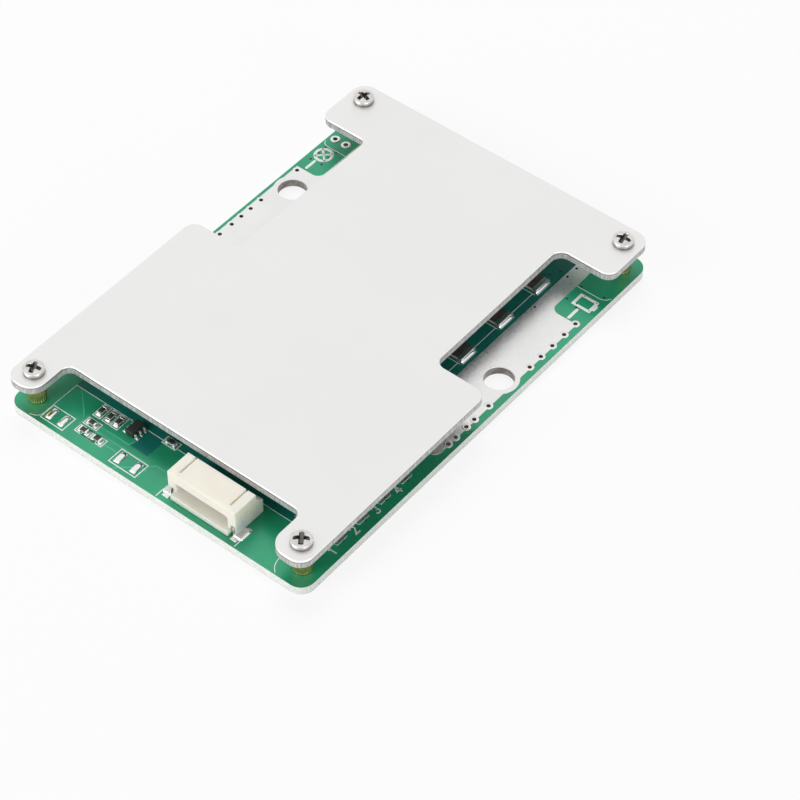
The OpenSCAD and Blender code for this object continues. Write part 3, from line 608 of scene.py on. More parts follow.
def plain_shader(name, rgb, drift, metallic, tint_scale=180.0):
    """A new material whose base colour drifts softly, and its node tree and shader."""
    material = bpy.data.materials.new(name)
    material.use_nodes = True
    tree = material.node_tree
    shader = tree.nodes["Principled BSDF"]
    shader.inputs["Metallic"].default_value = metallic
    drifted = tuple(part*drift for part in rgb)
    tint = add_node(tree, "ShaderNodeGroup", {
        "Colour": (*rgb, 1.0), "Drift": (*drifted, 1.0), "Scale": tint_scale},
        node_tree=tint_group())
    tree.links.new(tint.outputs["Colour"], shader.inputs["Base Color"])
    return material, tree, shader


def base_colour(shader):
    """The socket that feeds a shader's base colour."""
    return shader.inputs["Base Color"].links[0].from_socket


def grained(tree, shader, scale, smooth, rough, depth_mm, strength=0.5):
    """Adds grain of that scale to a shader: its roughness, and bumps of that depth."""
    grain = add_node(tree, "ShaderNodeGroup", node_tree=grain_group())
    grain.inputs["Scale"].default_value = scale
    grain.inputs["Smooth"].default_value = smooth
    grain.inputs["Rough"].default_value = rough
    tree.links.new(grain.outputs["Roughness"], shader.inputs["Roughness"])
    bump = add_node(tree, "ShaderNodeBump", {
        "Strength": strength, "Distance": depth_mm*MM, "Height": grain.outputs["Height"]})
    tree.links.new(bump.outputs["Normal"], shader.inputs["Normal"])
    return grain, bump


def aluminium_finish(metals):
    """Fine matt aluminium with sheared walls."""
    material, tree, shader = plain_shader("matt aluminium", metals.aluminium, 0.985, 1.0, 60.0)
    grain, _ = grained(tree, shader, 9000.0, 0.40, 0.50, 0.006)
    wall = add_node(tree, "ShaderNodeGroup", {
        "Face": base_colour(shader),
        "Wall": (*metals.cut_wall, 1.0), "Line": (*metals.crease_shade, 1.0),
        "Face Roughness": grain.outputs["Roughness"]}, node_tree=wall_group())
    tree.links.new(wall.outputs["Colour"], shader.inputs["Base Color"])
    tree.links.new(wall.outputs["Metallic"], shader.inputs["Metallic"])
    tree.links.new(wall.outputs["Roughness"], shader.inputs["Roughness"])
    return material


def tin_finish(metals):
    """Levelled tin: bright, with the slow swell of solder that ran flat, and painted shade in
    holes.
    """
    material, tree, shader = plain_shader("levelled tin", metals.tin, 0.96, 1.0)
    bright = base_colour(shader)
    hole_wall_shade = add_node(tree, "ShaderNodeGroup", {
        "Colour": (*metals.hollow, 1.0), "Drift": (*(1.8*part for part in metals.hollow), 1.0),
        "Scale": 900.0}, node_tree=tint_group())
    # Painted shade on the walls of holes, between these heights.
    low, high = 0.06*MM, MASK_TOP - 0.12*MM
    mixed, _ = split_by_height(tree, (low + high)/2, (high - low)/2,
                               hole_wall_shade.outputs["Colour"], bright)
    tree.links.new(mixed, shader.inputs["Base Color"])
    _, bump = grained(tree, shader, 2500.0, 0.26, 0.36, 0.002)
    swell = add_node(tree, "ShaderNodeGroup", node_tree=swell_group())
    swell.inputs["Scale"].default_value = 520.0
    wave = add_node(tree, "ShaderNodeBump", {
        "Strength": 0.6, "Distance": 0.03*MM, "Height": swell.outputs["Height"],
        "Normal": bump.outputs["Normal"]})
    tree.links.new(wave.outputs["Normal"], shader.inputs["Normal"])
    return material


def nickel_finish(metals):
    """Nickel plate, with painted shade where the piece's own hollow value is high."""
    material, tree, shader = plain_shader("nickel plate", metals.nickel, 0.85, 1.0, 1200.0)
    hollow = add_node(tree, "ShaderNodeAttribute", attribute_name="hollow")
    darker = mix_colours(tree, hollow.outputs["Fac"], base_colour(shader), metals.hollow)
    tree.links.new(darker, shader.inputs["Base Color"])
    grained(tree, shader, 4000.0, 0.24, 0.38, 0.012)
    return material


def plain_finish(name):
    """One of the finishes that are a single colour with grain."""
    look = PLAIN_FINISHES[name]
    rgb = getattr(getattr(bpy.context.scene, look.settings), look.colour)
    material, tree, shader = plain_shader(name, rgb, look.drift, look.metallic, look.patches)
    grained(tree, shader, look.grain, look.smooth, look.rough, look.depth_mm)
    return material


def nylon_finish():
    """Cream nylon, which lets a little light through."""
    material = plain_finish("cream nylon")
    shader = material.node_tree.nodes["Principled BSDF"]
    shader.inputs["Subsurface Weight"].default_value = 0.7
    shader.inputs["Subsurface Radius"].default_value = (1.0, 0.8, 0.5)
    shader.inputs["Subsurface Scale"].default_value = 1.6*MM
    return material


def split_by_height(tree, middle, reach, inside, outside):
    """A colour that is inside where Z lies within reach of middle, and outside elsewhere."""
    place = add_node(tree, "ShaderNodeTexCoord")
    axes = add_node(tree, "ShaderNodeSeparateXYZ", {"Vector": place.outputs["Object"]})
    within = add_node(tree, "ShaderNodeMath", {0: axes.outputs["Z"], 1: middle, 2: reach},
                      operation="COMPARE")
    within = within.outputs["Value"]
    return mix_colours(tree, within, outside, inside), within


def resistor_finish(parts, name, rgb, top):
    """A resistor: a coat of that colour above and white ceramic below its top edge."""
    material, tree, shader = plain_shader(name, rgb, 1.5, 0.0, 1500.0)
    coat = base_colour(shader)
    white = add_node(tree, "ShaderNodeGroup", {
        "Colour": (*parts.ceramic, 1.0), "Drift": (*parts.ceramic, 1.0)},
        node_tree=tint_group())
    depth = 0.12*MM
    mixed, _ = split_by_height(tree, (PAD_TOP + top - depth)/2, (top - depth - PAD_TOP)/2,
                               white.outputs["Colour"], coat)
    tree.links.new(mixed, shader.inputs["Base Color"])
    grained(tree, shader, 5000.0, 0.3, 0.5, 0.012)
    return material


# Parts of the board in the darker mask: left, right, front and back sides in
# millimetres from the board's centre. The first, the whole board under the plate, is painted
# shade, on the top and the underside alike; the second is a patch with no copper under the mask.
BARE_AND_SHADED_AREAS = [(-24.0, 20.7, -34.1, 41.0), (-9.2, -5.5, -38.1, -34.1)]


def board_finish(board):
    """Solder mask above and below, and the cut glass epoxy between them."""
    material, tree, shader = plain_shader("solder mask", board.mask, 0.86, 0.0, 130.0)
    mask = base_colour(shader)
    # The first area paints shade under the plate; the second is mask with no copper under it.
    for x0, x1, y0, y1 in BARE_AND_SHADED_AREAS:
        area = add_node(tree, "ShaderNodeGroup", {
            "Middle X": (x0 + x1)/2*MM, "Middle Y": (y0 + y1)/2*MM,
            "Reach X": (x1 - x0)/2*MM, "Reach Y": (y1 - y0)/2*MM}, node_tree=area_group())
        mask = mix_colours(tree, area.outputs["Mask"], mask, board.bare_and_shaded_mask)
    core = add_node(tree, "ShaderNodeGroup", {
        "Colour": (*board.core, 1.0), "Drift": (*(0.86*part for part in board.core), 1.0),
        "Scale": 2500.0}, node_tree=tint_group())
    edge = 0.06*MM
    mixed, within = split_by_height(tree, MASK_TOP/2, MASK_TOP/2 - edge,
                                    core.outputs["Colour"], mask)
    tree.links.new(mixed, shader.inputs["Base Color"])
    grain, _ = grained(tree, shader, 1500.0, 0.20, 0.27, 0.004)
    roughness = add_node(tree, "ShaderNodeMix", {"Factor": within, "B": 0.75,
                                                 "A": grain.outputs["Roughness"]})
    tree.links.new(roughness.outputs["Result"], shader.inputs["Roughness"])
    return material


Look = namedtuple("Look", "settings colour drift metallic patches grain smooth rough depth_mm")
# The colour's group and name, how far it drifts in patches of that scale, and the grain's
# scale, lowest and highest roughness and depth.
PLAIN_FINISHES = {
    "solder": Look("metal_colours", "solder", 0.93, 1.0, 900.0, 3500.0, 0.22, 0.36, 0.01),
    "brass": Look("metal_colours", "brass", 0.8, 1.0, 1500.0, 3000.0, 0.24, 0.4, 0.01),
    "tinned lead": Look("metal_colours", "leads", 0.9, 1.0, 900.0, 5000.0, 0.22, 0.36, 0.008),
    "moulded epoxy": Look("part_colours", "epoxy", 1.4, 0.0, 500.0, 7000.0, 0.42, 0.6, 0.012),
    "cream nylon": Look("part_colours", "nylon", 0.97, 0.0, 220.0, 2600.0, 0.34, 0.48, 0.01),
    "grey silicone": Look("part_colours", "silicone", 0.9, 0.0, 400.0, 3000.0, 0.6, 0.75, 0.02),
    "capacitor ceramic": Look("part_colours", "capacitor", 0.85, 0.0, 900.0, 5000.0, 0.4, 0.55,
                              0.008),
    "covered track": Look("board_colours", "trace", 0.9, 0.0, 300.0, 1500.0, 0.2, 0.28, 0.004),
    "covered hole": Look("board_colours", "via_dark", 0.9, 0.0, 300.0, 1500.0, 0.2, 0.28,
                         0.004),
    "white print": Look("board_colours", "ink", 0.9, 0.0, 1500.0, 6000.0, 0.5, 0.7, 0.01),
}


def finish(name):
    """The material of that name, made the first time that it is asked for."""
    scene = bpy.context.scene
    makers = {
        "matt aluminium": lambda: aluminium_finish(scene.metal_colours),
        "levelled tin": lambda: tin_finish(scene.metal_colours),
        "nickel plate": lambda: nickel_finish(scene.metal_colours),
        "cream nylon": nylon_finish,
        "solder mask": lambda: board_finish(scene.board_colours),
    }
    maker = makers.get(name, lambda: plain_finish(name))
    return bpy.data.materials.get(name) or maker()


# ------------------------------------------------------------------ operators

class BoardOperator:
    """What the operators below share."""

    bl_options = {"REGISTER", "UNDO"}


class BOARD_OT_circuit_board(BoardOperator, bpy.types.Operator):
    """Round the board's cut edges and give it its mask and core"""

    bl_idname = "board.circuit_board"
    bl_label = "Circuit board"

    def execute(self, context):
        edges = context.scene.edge_sizes
        rounded_copy("circuit_board", finish("solder mask"), edges.board, 2,
                     lift=RING_PROUD)
        return {"FINISHED"}


class BOARD_OT_copper(BoardOperator, bpy.types.Operator):
    """Round the tinned copper and line its small holes and lug holes"""

    bl_idname = "board.copper"
    bl_label = "Tinned copper"

    def execute(self, context):
        edge = context.scene.edge_sizes.copper
        tin = finish("levelled tin")
        for node in ("load_plane", "battery_plane", "tap_pads", "component_pads", "power_pads"):
            rounded_copy(node, tin, edge, 2)
        centres, across = round_holes("circuit_board")
        small = across < SMALL_HOLE
        wall = 0.05*MM
        new_piece("small_plated_holes",
                  spool(centres[small], across[small][0]/2 - wall, across[small][0]/2,
                        0.74*MM, 0.66*MM, PAD_TOP, 0.018*MM),
                  tin)
        lugs = across > LUG_HOLE
        reach, lap = across[lugs][0]/2, 0.03*MM
        inner, outer = reach - 0.1*MM, reach + 0.7*MM
        new_piece("underside_lug_rings",
                  turned(centres[lugs], [(inner, 0), (outer, 0), (outer, lap), (inner, lap)],
                         closed=True), tin)
        self.ringed_holes(tin)
        return {"FINISHED"}

    def ringed_holes(self, tin):
        """The two larger plated holes, each with a wide ring."""
        lows, highs = solid_boxes("plated_rings")
        centres = ((lows + highs)/2)[:, :2]
        ring = (highs - lows)[0, 0]/2
        bore, barrel = ring*0.47, ring*0.6
        new_piece("ringed_holes",
                  spool(centres, bore, barrel, ring, ring, PAD_TOP - 0.02*MM, 0.02*MM),
                  tin, ["plated_rings"])


class BOARD_OT_plate(BoardOperator, bpy.types.Operator):
    """Round the heatsink plate's edges and give it its matt finish"""

    bl_idname = "board.plate"
    bl_label = "Heatsink plate"

    def execute(self, context):
        middle = (PLATE_TOP + PLATE_BOTTOM)/2
        rounded_copy("heatsink_plate", finish("matt aluminium"),
                     context.scene.edge_sizes.plate, 4,
                     share=lambda heights: np.where(heights > middle, 1.0, 0.3))
        return {"FINISHED"}


class BOARD_OT_screws(BoardOperator, bpy.types.Operator):
    """Make the plate screws with their domed, crossed heads and threads"""

    bl_idname = "board.screws"
    bl_label = "Plate screws"
    # How far the rim lies below the middle of the head, as a part of the head's height.
    rim_drop = 0.3
    # How far each screw was turned, in degrees.
    turns = (20, -12, 35, 8)

    def execute(self, context):
        lows, highs = solid_boxes("plate_screws")
        centres = ((lows + highs)/2)[:, :2]
        piece = new_piece("plate_screws_finished",
                          self.screw(centres, highs[0], lows[0], context.scene.fixing_sizes),
                          finish("nickel plate"), ["plate_screws"], crease=50)
        self.mark_painted_shade(piece.data, centres, highs[0])
        return {"FINISHED"}

    def dome(self, radius, high, head_r):
        """The height of the head's top at a distance from its centre."""
        return high[2] - (radius/head_r)**2*self.rim_drop*(high[2] - PLATE_TOP)

    def mark_painted_shade(self, mesh, centres, high):
        """Writes painted shade at each point: how deep it lies in the cross, and 1 at the head's
        foot.
        """
        points = np.empty(3*len(mesh.vertices), np.float32)
        mesh.vertices.foreach_get("co", points)
        points = points.reshape(-1, 3)
        radius = np.linalg.norm(points[:, None, :2] - centres[None], axis=2).min(axis=1)
        depth = self.dome(radius, high, radius.max()) - points[:, 2]
        in_cross = (radius < 0.85*radius.max())*np.clip((depth - 0.04*MM)/(0.12*MM), 0, 1)
        foot = points[:, 2] < PLATE_TOP + 0.12*MM
        hollow = np.where(points[:, 2] > PLATE_TOP - 0.02*MM, np.maximum(in_cross, foot), 0.0)
        values = mesh.attributes.new("hollow", "FLOAT", "POINT")
        values.data.foreach_set("value", hollow.astype(np.float32))

    def screw(self, centres, high, low, sizes):
        """Rings from the head's centre out, down its side and down the shank to the tip.

        On the head the height is a dome, falling with r^2, less the cross: its depth fades
        out along each arm and at the arm's sides. On the shank the radius follows a
        triangle wave of the height less the angle's share of a turn.
        """
        head_r, top, tip = (high[0] - low[0])/2, high[2], low[2]
        shank_r = 1.0*MM
        side = (1 - self.rim_drop)*(top - PLATE_TOP)
        angle = np.arange(120)*2*np.pi/120
        rings = np.linspace(0, 1, 42)[:, None]**0.9*(head_r - 0.06*MM)
        x, y = rings*np.cos(angle), rings*np.sin(angle)
        dome = self.dome(rings, high, head_r)
        near = np.minimum(np.abs(x), np.abs(y))
        far = np.maximum(np.abs(x), np.abs(y))
        arm = np.clip((sizes.cross_width/2 - near)/(0.12*MM) + 0.5, 0, 1)
        fade = np.clip((sizes.cross_reach - far)/(sizes.cross_reach*0.6), 0, 1)
        z = dome - sizes.cross_depth*arm*fade**0.6
        head = np.stack([x, y, z], axis=-1)
        skirt = self.ring_rows([(head_r - 0.02*MM, PLATE_TOP + side - 0.03*MM),
                                (head_r, PLATE_TOP + side - 0.09*MM),
                                (head_r, PLATE_TOP + 0.05*MM),
                                (head_r - 0.06*MM, PLATE_TOP),
                                (shank_r, PLATE_TOP)], angle)
        heights = np.linspace(PLATE_TOP - 0.05*MM, tip + 0.3*MM, 150)
        turns = heights[:, None]/sizes.thread_pitch - angle/(2*np.pi)
        wave = np.abs(2*(turns % 1) - 1)
        radius = shank_r - sizes.thread_depth*wave
        shank = np.stack([radius*np.cos(angle), radius*np.sin(angle),
                          np.broadcast_to(heights[:, None], radius.shape)], axis=-1)
        end = self.ring_rows([(0.5*MM, tip), (0.0, tip)], angle)
        one = np.concatenate([head, skirt, shank, end])
        shift = np.column_stack([centres, np.zeros(len(centres))])
        turn = np.radians(self.turns)
        c, s = np.cos(turn)[:, None, None], np.sin(turn)[:, None, None]
        spun = np.stack([c*one[..., 0] - s*one[..., 1], s*one[..., 0] + c*one[..., 1],
                         np.broadcast_to(one[..., 2], (len(turn), *one.shape[:2]))], axis=-1)
        return shells(spun + shift[:, None, None, :])

    def ring_rows(self, profile, angle):
        """Rows of a turned surface from (radius, height) pairs."""
        profile = np.asarray(profile)
        radius = profile[:, :1]
        height = np.broadcast_to(profile[:, 1:], (len(profile), len(angle)))
        return np.stack([radius*np.cos(angle), radius*np.sin(angle), height], axis=-1)


class BOARD_OT_standoffs(BoardOperator, bpy.types.Operator):
    """Make the knurled standoffs between the board and the plate"""

    bl_idname = "board.standoffs"
    bl_label = "Standoffs"

    def execute(self, context):
        sizes = context.scene.fixing_sizes
        lows, highs = solid_boxes("standoffs")
        centres = ((lows + highs)/2)[:, :2]
        radius = (highs - lows)[0, 0]/2
        spigot, bore, chamfer = 1.3*MM, 1.02*MM, 0.14*MM
        plain_end, knurl_start = 0.3*MM, 0.4*MM
        straight = np.linspace(MASK_TOP + knurl_start, PLATE_BOTTOM - knurl_start, 12)
        plain = [(bore, 0), (spigot, 0), (spigot, MASK_TOP), (radius - chamfer, MASK_TOP),
                 (radius, MASK_TOP + chamfer), (radius, MASK_TOP + plain_end)]
        above = [(radius, PLATE_BOTTOM - plain_end), (radius, PLATE_BOTTOM - chamfer),
                 (radius - chamfer, PLATE_BOTTOM), (bore, PLATE_BOTTOM)]
        profile = plain + [(radius, z) for z in straight] + above
        segments = sizes.knurls*6
        angle = np.arange(segments)*2*np.pi/segments
        knurled = np.zeros(len(profile))
        knurled[len(plain):len(plain) + len(straight)] = 1
        ripple = -knurled[:, None]*sizes.knurl_depth*(0.5 - 0.5*np.cos(sizes.knurls*angle))
        new_piece("standoffs_finished",
                  turned(centres, profile, segments, closed=True, ripple=ripple),
                  finish("brass"), ["standoffs"], crease=60)
        return {"FINISHED"}


class BOARD_OT_socket(BoardOperator, bpy.types.Operator):
    """Round the lead socket's edges and give its pins and tabs their tin"""

    bl_idname = "board.socket"
    bl_label = "Lead socket"

    def execute(self, context):
        edges = context.scene.edge_sizes
        rounded_copy("socket_housing", finish("cream nylon"), edges.socket, 3)
        for node in ("socket_pins", "socket_tabs"):
            rounded_copy(node, finish("tinned lead"), edges.lead, 2)
        low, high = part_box("socket_tabs")
        middle, inset = (low.y + high.y)/2, 0.2*MM
        size, height = (1.1*MM, 2.5*MM), 0.24*MM
        centres = [(low.x + inset, middle), (high.x - inset, middle)]
        new_piece("socket_tab_solder",
                  mounds(centres, [size]*2, MASK_TOP + 0.02*MM, [height]*2),
                  finish("solder"))
        return {"FINISHED"}


class BOARD_OT_power_parts(BoardOperator, bpy.types.Operator):
    """Finish the power transistors, their thermal pads and the shunt resistors"""

    bl_idname = "board.power_parts"
    bl_label = "Power parts"

    def execute(self, context):
        edges = context.scene.edge_sizes
        parts = context.scene.part_colours
        rounded_copy("power_transistor_bodies", finish("moulded epoxy"),
                     edges.moulding, 2)
        for node in ("power_transistor_tabs", "power_transistor_leads"):
            rounded_copy(node, finish("tinned lead"), edges.lead, 2)
        rounded_copy("thermal_pads", finish("grey silicone"), edges.chip, 2)
        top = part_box("shunt_bodies")[1].z
        rounded_copy("shunt_bodies", resistor_finish(parts, "shunt coat", parts.shunt, top),
                     edges.chip, 2)
        rounded_copy("shunt_end_caps", finish("solder"), edges.chip, 3)
        return {"FINISHED"}


class BOARD_OT_small_parts(BoardOperator, bpy.types.Operator):
    """Finish the small chips, and solder their end caps to the pads"""

    bl_idname = "board.small_parts"
    bl_label = "Small parts"
    # How far the solder slopes run out from the end caps.
    chip_slope, shunt_slope = 0.3*MM, 0.36*MM

    def execute(self, context):
        edges = context.scene.edge_sizes
        parts = context.scene.part_colours
        for node in ("small_transistor_bodies", "protection_chip_body"):
            rounded_copy(node, finish("moulded epoxy"), edges.chip, 2)
        for node in ("small_transistor_leads", "protection_chip_leads"):
            rounded_copy(node, finish("tinned lead"), edges.lead/2, 2)
        for kind in ("chip_resistor", "balance_resistor"):
            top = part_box(kind + "_bodies")[1].z
            coat = resistor_finish(parts, kind + " coat", parts.overcoat, top)
            rounded_copy(kind + "_bodies", coat, edges.chip, 2)
        rounded_copy("chip_capacitor_bodies", finish("capacitor ceramic"),
                     edges.chip, 2)
        slopes = []
        for kind in ("chip_resistor", "balance_resistor", "chip_capacitor"):
            rounded_copy(kind + "_ends", finish("solder"), edges.chip, 3)
            slopes.append(self.end_solder(kind + "_bodies", kind + "_ends", self.chip_slope))
        slopes.append(self.end_solder("shunt_bodies", "shunt_end_caps", self.shunt_slope))
        new_piece("end_cap_solder", joined(slopes), finish("solder"))
        self.bumps()
        return {"FINISHED"}

    def end_solder(self, bodies, ends, reach):
        """A fillet outside each end cap, pointing away from the nearest body."""
        body_low, body_high = solid_boxes(bodies)
        low, high = solid_boxes(ends)
        body = (body_low + body_high)[:, :2]/2
        cap = (low + high)[:, :2]/2
        gap = cap[:, None, :] - body[None, :, :]
        nearest = np.linalg.norm(gap, axis=2).argmin(axis=1)
        away = gap[np.arange(len(cap)), nearest]
        along_x = np.abs(away[:, 0]) > np.abs(away[:, 1])
        outward = np.where(along_x[:, None], np.sign(away)*[1, 0], np.sign(away)*[0, 1])
        size = (high - low)[:, :2]
        depth = np.where(along_x, size[:, 0], size[:, 1])
        width = np.where(along_x, size[:, 1], size[:, 0])
        feet = cap + outward*depth[:, None]/2
        height = 0.8*(high[0, 2] - low[0, 2])
        return fillets(feet, outward, width, reach, height, PAD_TOP - 0.03*MM)

    def bumps(self):
        """Mounds of solder on the pads of the two unused places."""
        lows, highs = solid_boxes("solder_bumps")
        centres = ((lows + highs)/2)[:, :2]
        sizes = (highs - lows)[:, :2]
        height = (highs - lows)[:, 2]
        new_piece("solder_bumps_finished",
                  mounds(centres, sizes, PAD_TOP - 0.02*MM, height, fullness=3.2),
                  finish("solder"), ["solder_bumps"])


# Printed lines on the board, in millimetres from its centre.
FRONT_LINES = [
    [(-25.5, -43.0), (-24.6, -42.7), (-24.05, -42.2), (-23.95, -41.6), (-23.95, -34.1),
     (-12.2, -34.1)],
    [(-9.0, -34.1), (-5.9, -34.1)],
    [(-2.9, -34.1), (1.2, -34.1)],
    [(13.0, -34.1), (22.6, -34.1)],
    [(23.0, -40.2), (23.1, -41.2), (23.5, -42.2), (24.3, -43.0)],
]
SIDE_LINES = [
    [(-28.7, 32.1), (-24.6, 32.1)],
    [(-28.7, 32.1), (-29.35, 32.35), (-29.75, 33.0)],
    [(23.8, 32.15), (28.4, 32.15), (29.2, 32.5), (29.7, 33.2)],
]
# Dark spots of covered holes, painted shade of the holes, in millimetres.
COVERED_HOLES = [
    (-28.7, 30.0), (-26.6, 30.0), (-28.8, 28.0), (-26.5, 28.1), (-28.7, 31.8), (-26.4, 31.8),
    (26.0, 31.1), (28.5, 31.0), (26.0, 28.9), (28.5, 28.9), (24.3, 32.5), (28.6, 32.8),
    (24.1, 28.9), (26.4, 28.3), (18.6, 31.6), (19.6, 33.2),
    (28.2, -16.8), (28.2, -22.0), (28.2, -26.9), (28.2, -32.1),
]
# Dark spots of painted shade for holes in the tin, in millimetres.
TIN_SPOTS = [(21.35, 35.2), (21.3, 32.8), (21.3, 24.1)]
# Tracks that show through the mask, in millimetres.
TRACKS = [
    [(-14.8, -38.1), (-9.3, -38.1), (-9.0, -37.0)],
    [(-15.0, -39.2), (-5.0, -39.2), (-3.8, -40.4)],
    [(-18.2, -37.5), (-18.2, -39.7)],
    [(-22.4, -34.5), (-18.3, -38.4)],
    [(-12.0, -40.4), (-10.0, -40.4)],
    [(-8.0, -43.0), (-3.0, -38.6), (-1.4, -38.6)],
]


class BOARD_OT_print(BoardOperator, bpy.types.Operator):
    """Print the outlines, signs and plain numbers on the mask"""

    bl_idname = "board.print"
    bl_label = "Print"

    def execute(self, context):
        self.sizes = context.scene.print_sizes
        ink = [self.line(path, width=self.sizes.fine) for path in FRONT_LINES + SIDE_LINES]
        ink += self.chip_outlines()
        ink += self.bump_outlines()
        ink += self.socket_marks()
        ink += self.shunt_marks()
        ink += self.terminal_signs()
        ink += self.tap_numbers()
        new_piece("board_print", joined(ink), finish("white print"))
        self.spots()
        return {"FINISHED"}

    def line(self, path, closed=False, width=None):
        """A printed line along a path in millimetres."""
        return stroke(path, width or self.sizes.line, MASK_TOP - 0.01*MM,
                      MASK_TOP + self.sizes.ink, closed)

    def box(self, low, high):
        """A printed rectangle between two corners in metres."""
        (x0, y0), (x1, y1) = np.asarray(low)/MM, np.asarray(high)/MM
        return self.line([(x0, y0), (x1, y0), (x1, y1), (x0, y1)], closed=True)

    def front_solids(self, node):
        """The boxes of a node's solids that lie on the front strip."""
        lows, highs = solid_boxes(node)
        shown = highs[:, 1] < BOARD_LOW.y + 11*MM
        return lows[shown][:, :2], highs[shown][:, :2]

    def chip_outlines(self):
        """A rectangle round each small chip of the front strip."""
        marks = []
        for kind in ("chip_resistor_ends", "chip_capacitor_ends"):
            lows, highs = self.front_solids(kind)
            for a in range(len(lows)):
                for b in range(a + 1, len(lows)):
                    low = np.minimum(lows[a], lows[b])
                    high = np.maximum(highs[a], highs[b])
                    size = high - low
                    if max(size) > 1.8*MM or min(size) > 1.0*MM:
                        continue
                    grow = np.where(size > 1.2*MM, 0.55*MM, 0.3*MM)
                    marks.append(self.box(low - grow, high + grow))
        return marks

    def bump_outlines(self):
        """A rectangle round each pair of unused pads."""
        lows, highs = solid_boxes("solder_bumps")
        order = np.argsort(lows[:, 0])
        lows, highs = lows[order][:, :2], highs[order][:, :2]
        grow = np.array([0.5*MM, 0.36*MM])
        return [self.box(lows[i] - grow, highs[i + 1] + grow) for i in (0, 2)]

    def socket_marks(self):
        """Brackets beside the socket."""
        low, high = (np.asarray(corner)/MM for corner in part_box("socket_housing"))
        front = BOARD_LOW.y/MM + 0.3
        left, right = low[0] - 1.26, high[0] + 1.0
        return [self.line([(left + 0.9, low[1] + 2.0), (left, low[1] + 2.0), (left, front)]),
                self.line([(right - 0.7, low[1] + 3.2), (right, low[1] + 3.2), (right, front)])]

    def shunt_marks(self):
        """The line that links the shunt resistors, and a tick at each of their corners."""
        lows, highs = (corner/MM for corner in solid_boxes("shunt_end_caps"))
        right = highs[:, 0].max()
        ends = highs[:, 0] > right - 0.1
        order = np.argsort(lows[ends][:, 1])
        low, high = lows[ends][order][:, 1], highs[ends][order][:, 1]
        x, margin = right - 0.45, 0.4
        marks = []
        for i in range(len(low)):
            for y in (low[i] - margin, high[i] + margin):
                marks.append(self.line([(x - 2.6, y), (x + 0.4, y)], width=self.sizes.fine))
        gaps = [(low[0] - 2.6, low[0] - margin)]
        gaps += [(high[i] + margin, low[i + 1] - margin) for i in range(len(low) - 1)]
        marks += [self.line([(x, y0), (x, y1)], width=self.sizes.fine) for y0, y1 in gaps]
        return marks

    def terminal_signs(self):
        """A lamp sign by the load lug, a cell sign by the battery lug, and a minus by each."""
        bold = self.sizes.bold
        angle = np.linspace(0, 2*np.pi, 36, endpoint=False)
        x, y, r = -27.7, 30.1, 1.45
        ring = np.column_stack([x + r*np.cos(angle), y + r*np.sin(angle)])
        d = r*math.sqrt(0.5)
        signs = [self.line(ring, closed=True, width=bold),
                 self.line([(x - d, y - d), (x + d, y + d)], width=bold*0.7),
                 self.line([(x - d, y + d), (x + d, y - d)], width=bold*0.7),
                 self.line([(x - 0.2, 25.9), (x - 0.2, 28.0)], width=bold)]
        x, y = 27.0, 29.9
        cell = [(x - 1.55, y - 1.15), (x + 1.55, y - 1.15), (x + 1.55, y + 1.15),
                (x - 1.55, y + 1.15)]
        signs += [self.line(cell, closed=True, width=bold),
                  self.line([(x + 1.95, y - 0.4), (x + 1.95, y + 0.4)], width=bold),
                  self.line([(x - 0.15, 25.7), (x - 0.15, 27.9)], width=bold)]
        return signs

    def tap_numbers(self):
        """Plain numbers by the tap pads, turned to be read from the board's right side."""
        lows, highs = solid_boxes("tap_pads")
        middle = np.sort(((lows + highs)/2)[:, 1])/MM
        marks = []
        for number, y in enumerate(middle, 1):
            for path in digit_paths(number):
                height = self.sizes.digit/MM
                path = np.asarray(path)*height
                turned_path = np.column_stack([28.95 - path[:, 1], y - 2.9 + path[:, 0]])
                marks.append(self.line(turned_path, width=self.sizes.bold/2))
        return marks

    def spots(self):
        """The dark spots of covered holes, as shallow lenses of painted shade on the mask and the
        tin.
        """
        lens = [(0.0, -0.02), (0.21, -0.02), (0.23, 0.0), (0.17, 0.022), (0.0, 0.03)]
        on_mask = [(r*MM, MASK_TOP + z*MM) for r, z in lens]
        on_tin = [(r*MM, PAD_TOP + z*MM) for r, z in lens]
        shapes = [turned(np.array(COVERED_HOLES)*MM, on_mask, 20),
                  turned(np.array(TIN_SPOTS)*MM, on_tin, 20)]
        new_piece("covered_holes", joined(shapes), finish("covered hole"))


def digit_paths(number):
    """The strokes of a plain digit of unit height: straight lines and arcs of circles."""
    def arc(x, y, r, start, end):
        angle = np.radians(np.linspace(start, end, 12))
        return list(zip(x + r*np.cos(angle), y + r*np.sin(angle)))

    return {
        1: [[(0.12, 0.8), (0.3, 1.0), (0.3, 0.0)]],
        2: [arc(0.28, 0.73, 0.26, 160, -30) + [(0.04, 0.0), (0.56, 0.0)]],
        3: [arc(0.27, 0.75, 0.24, 150, -80), arc(0.27, 0.26, 0.26, 80, -150)],
        4: [[(0.42, 0.0), (0.42, 1.0), (0.02, 0.3), (0.6, 0.3)]],
    }[number]


class BOARD_OT_tracks(BoardOperator, bpy.types.Operator):
    """Raise the tracks that show through the mask"""

    bl_idname = "board.tracks"
    bl_label = "Covered tracks"

    def execute(self, context):
        width = context.scene.print_sizes.track
        tracks = [stroke(path, width, MASK_TOP - 0.01*MM, MASK_TOP + 0.012*MM)
                  for path in TRACKS]
        new_piece("covered_tracks", joined(tracks), finish("covered track"))
        return {"FINISHED"}


# ------------------------------------------------------------------ studio

def soft_sky(scene, strength):
    """An even sky that lights at that strength and is seen, or mirrored, as white."""
    world = bpy.data.worlds.new("soft sky")
    world.use_nodes = True
    tree = world.node_tree
    back = tree.nodes["Background"]
    back.inputs["Color"].default_value = (1.0, 1.0, 1.0, 1.0)
    seen = seen_directly(tree)
    level = add_node(tree, "ShaderNodeMapRange", {"Value": seen, "To Min": strength,
                                                  "To Max": 1.0})
    tree.links.new(level.outputs["Result"], back.inputs["Strength"])
    scene.world = world


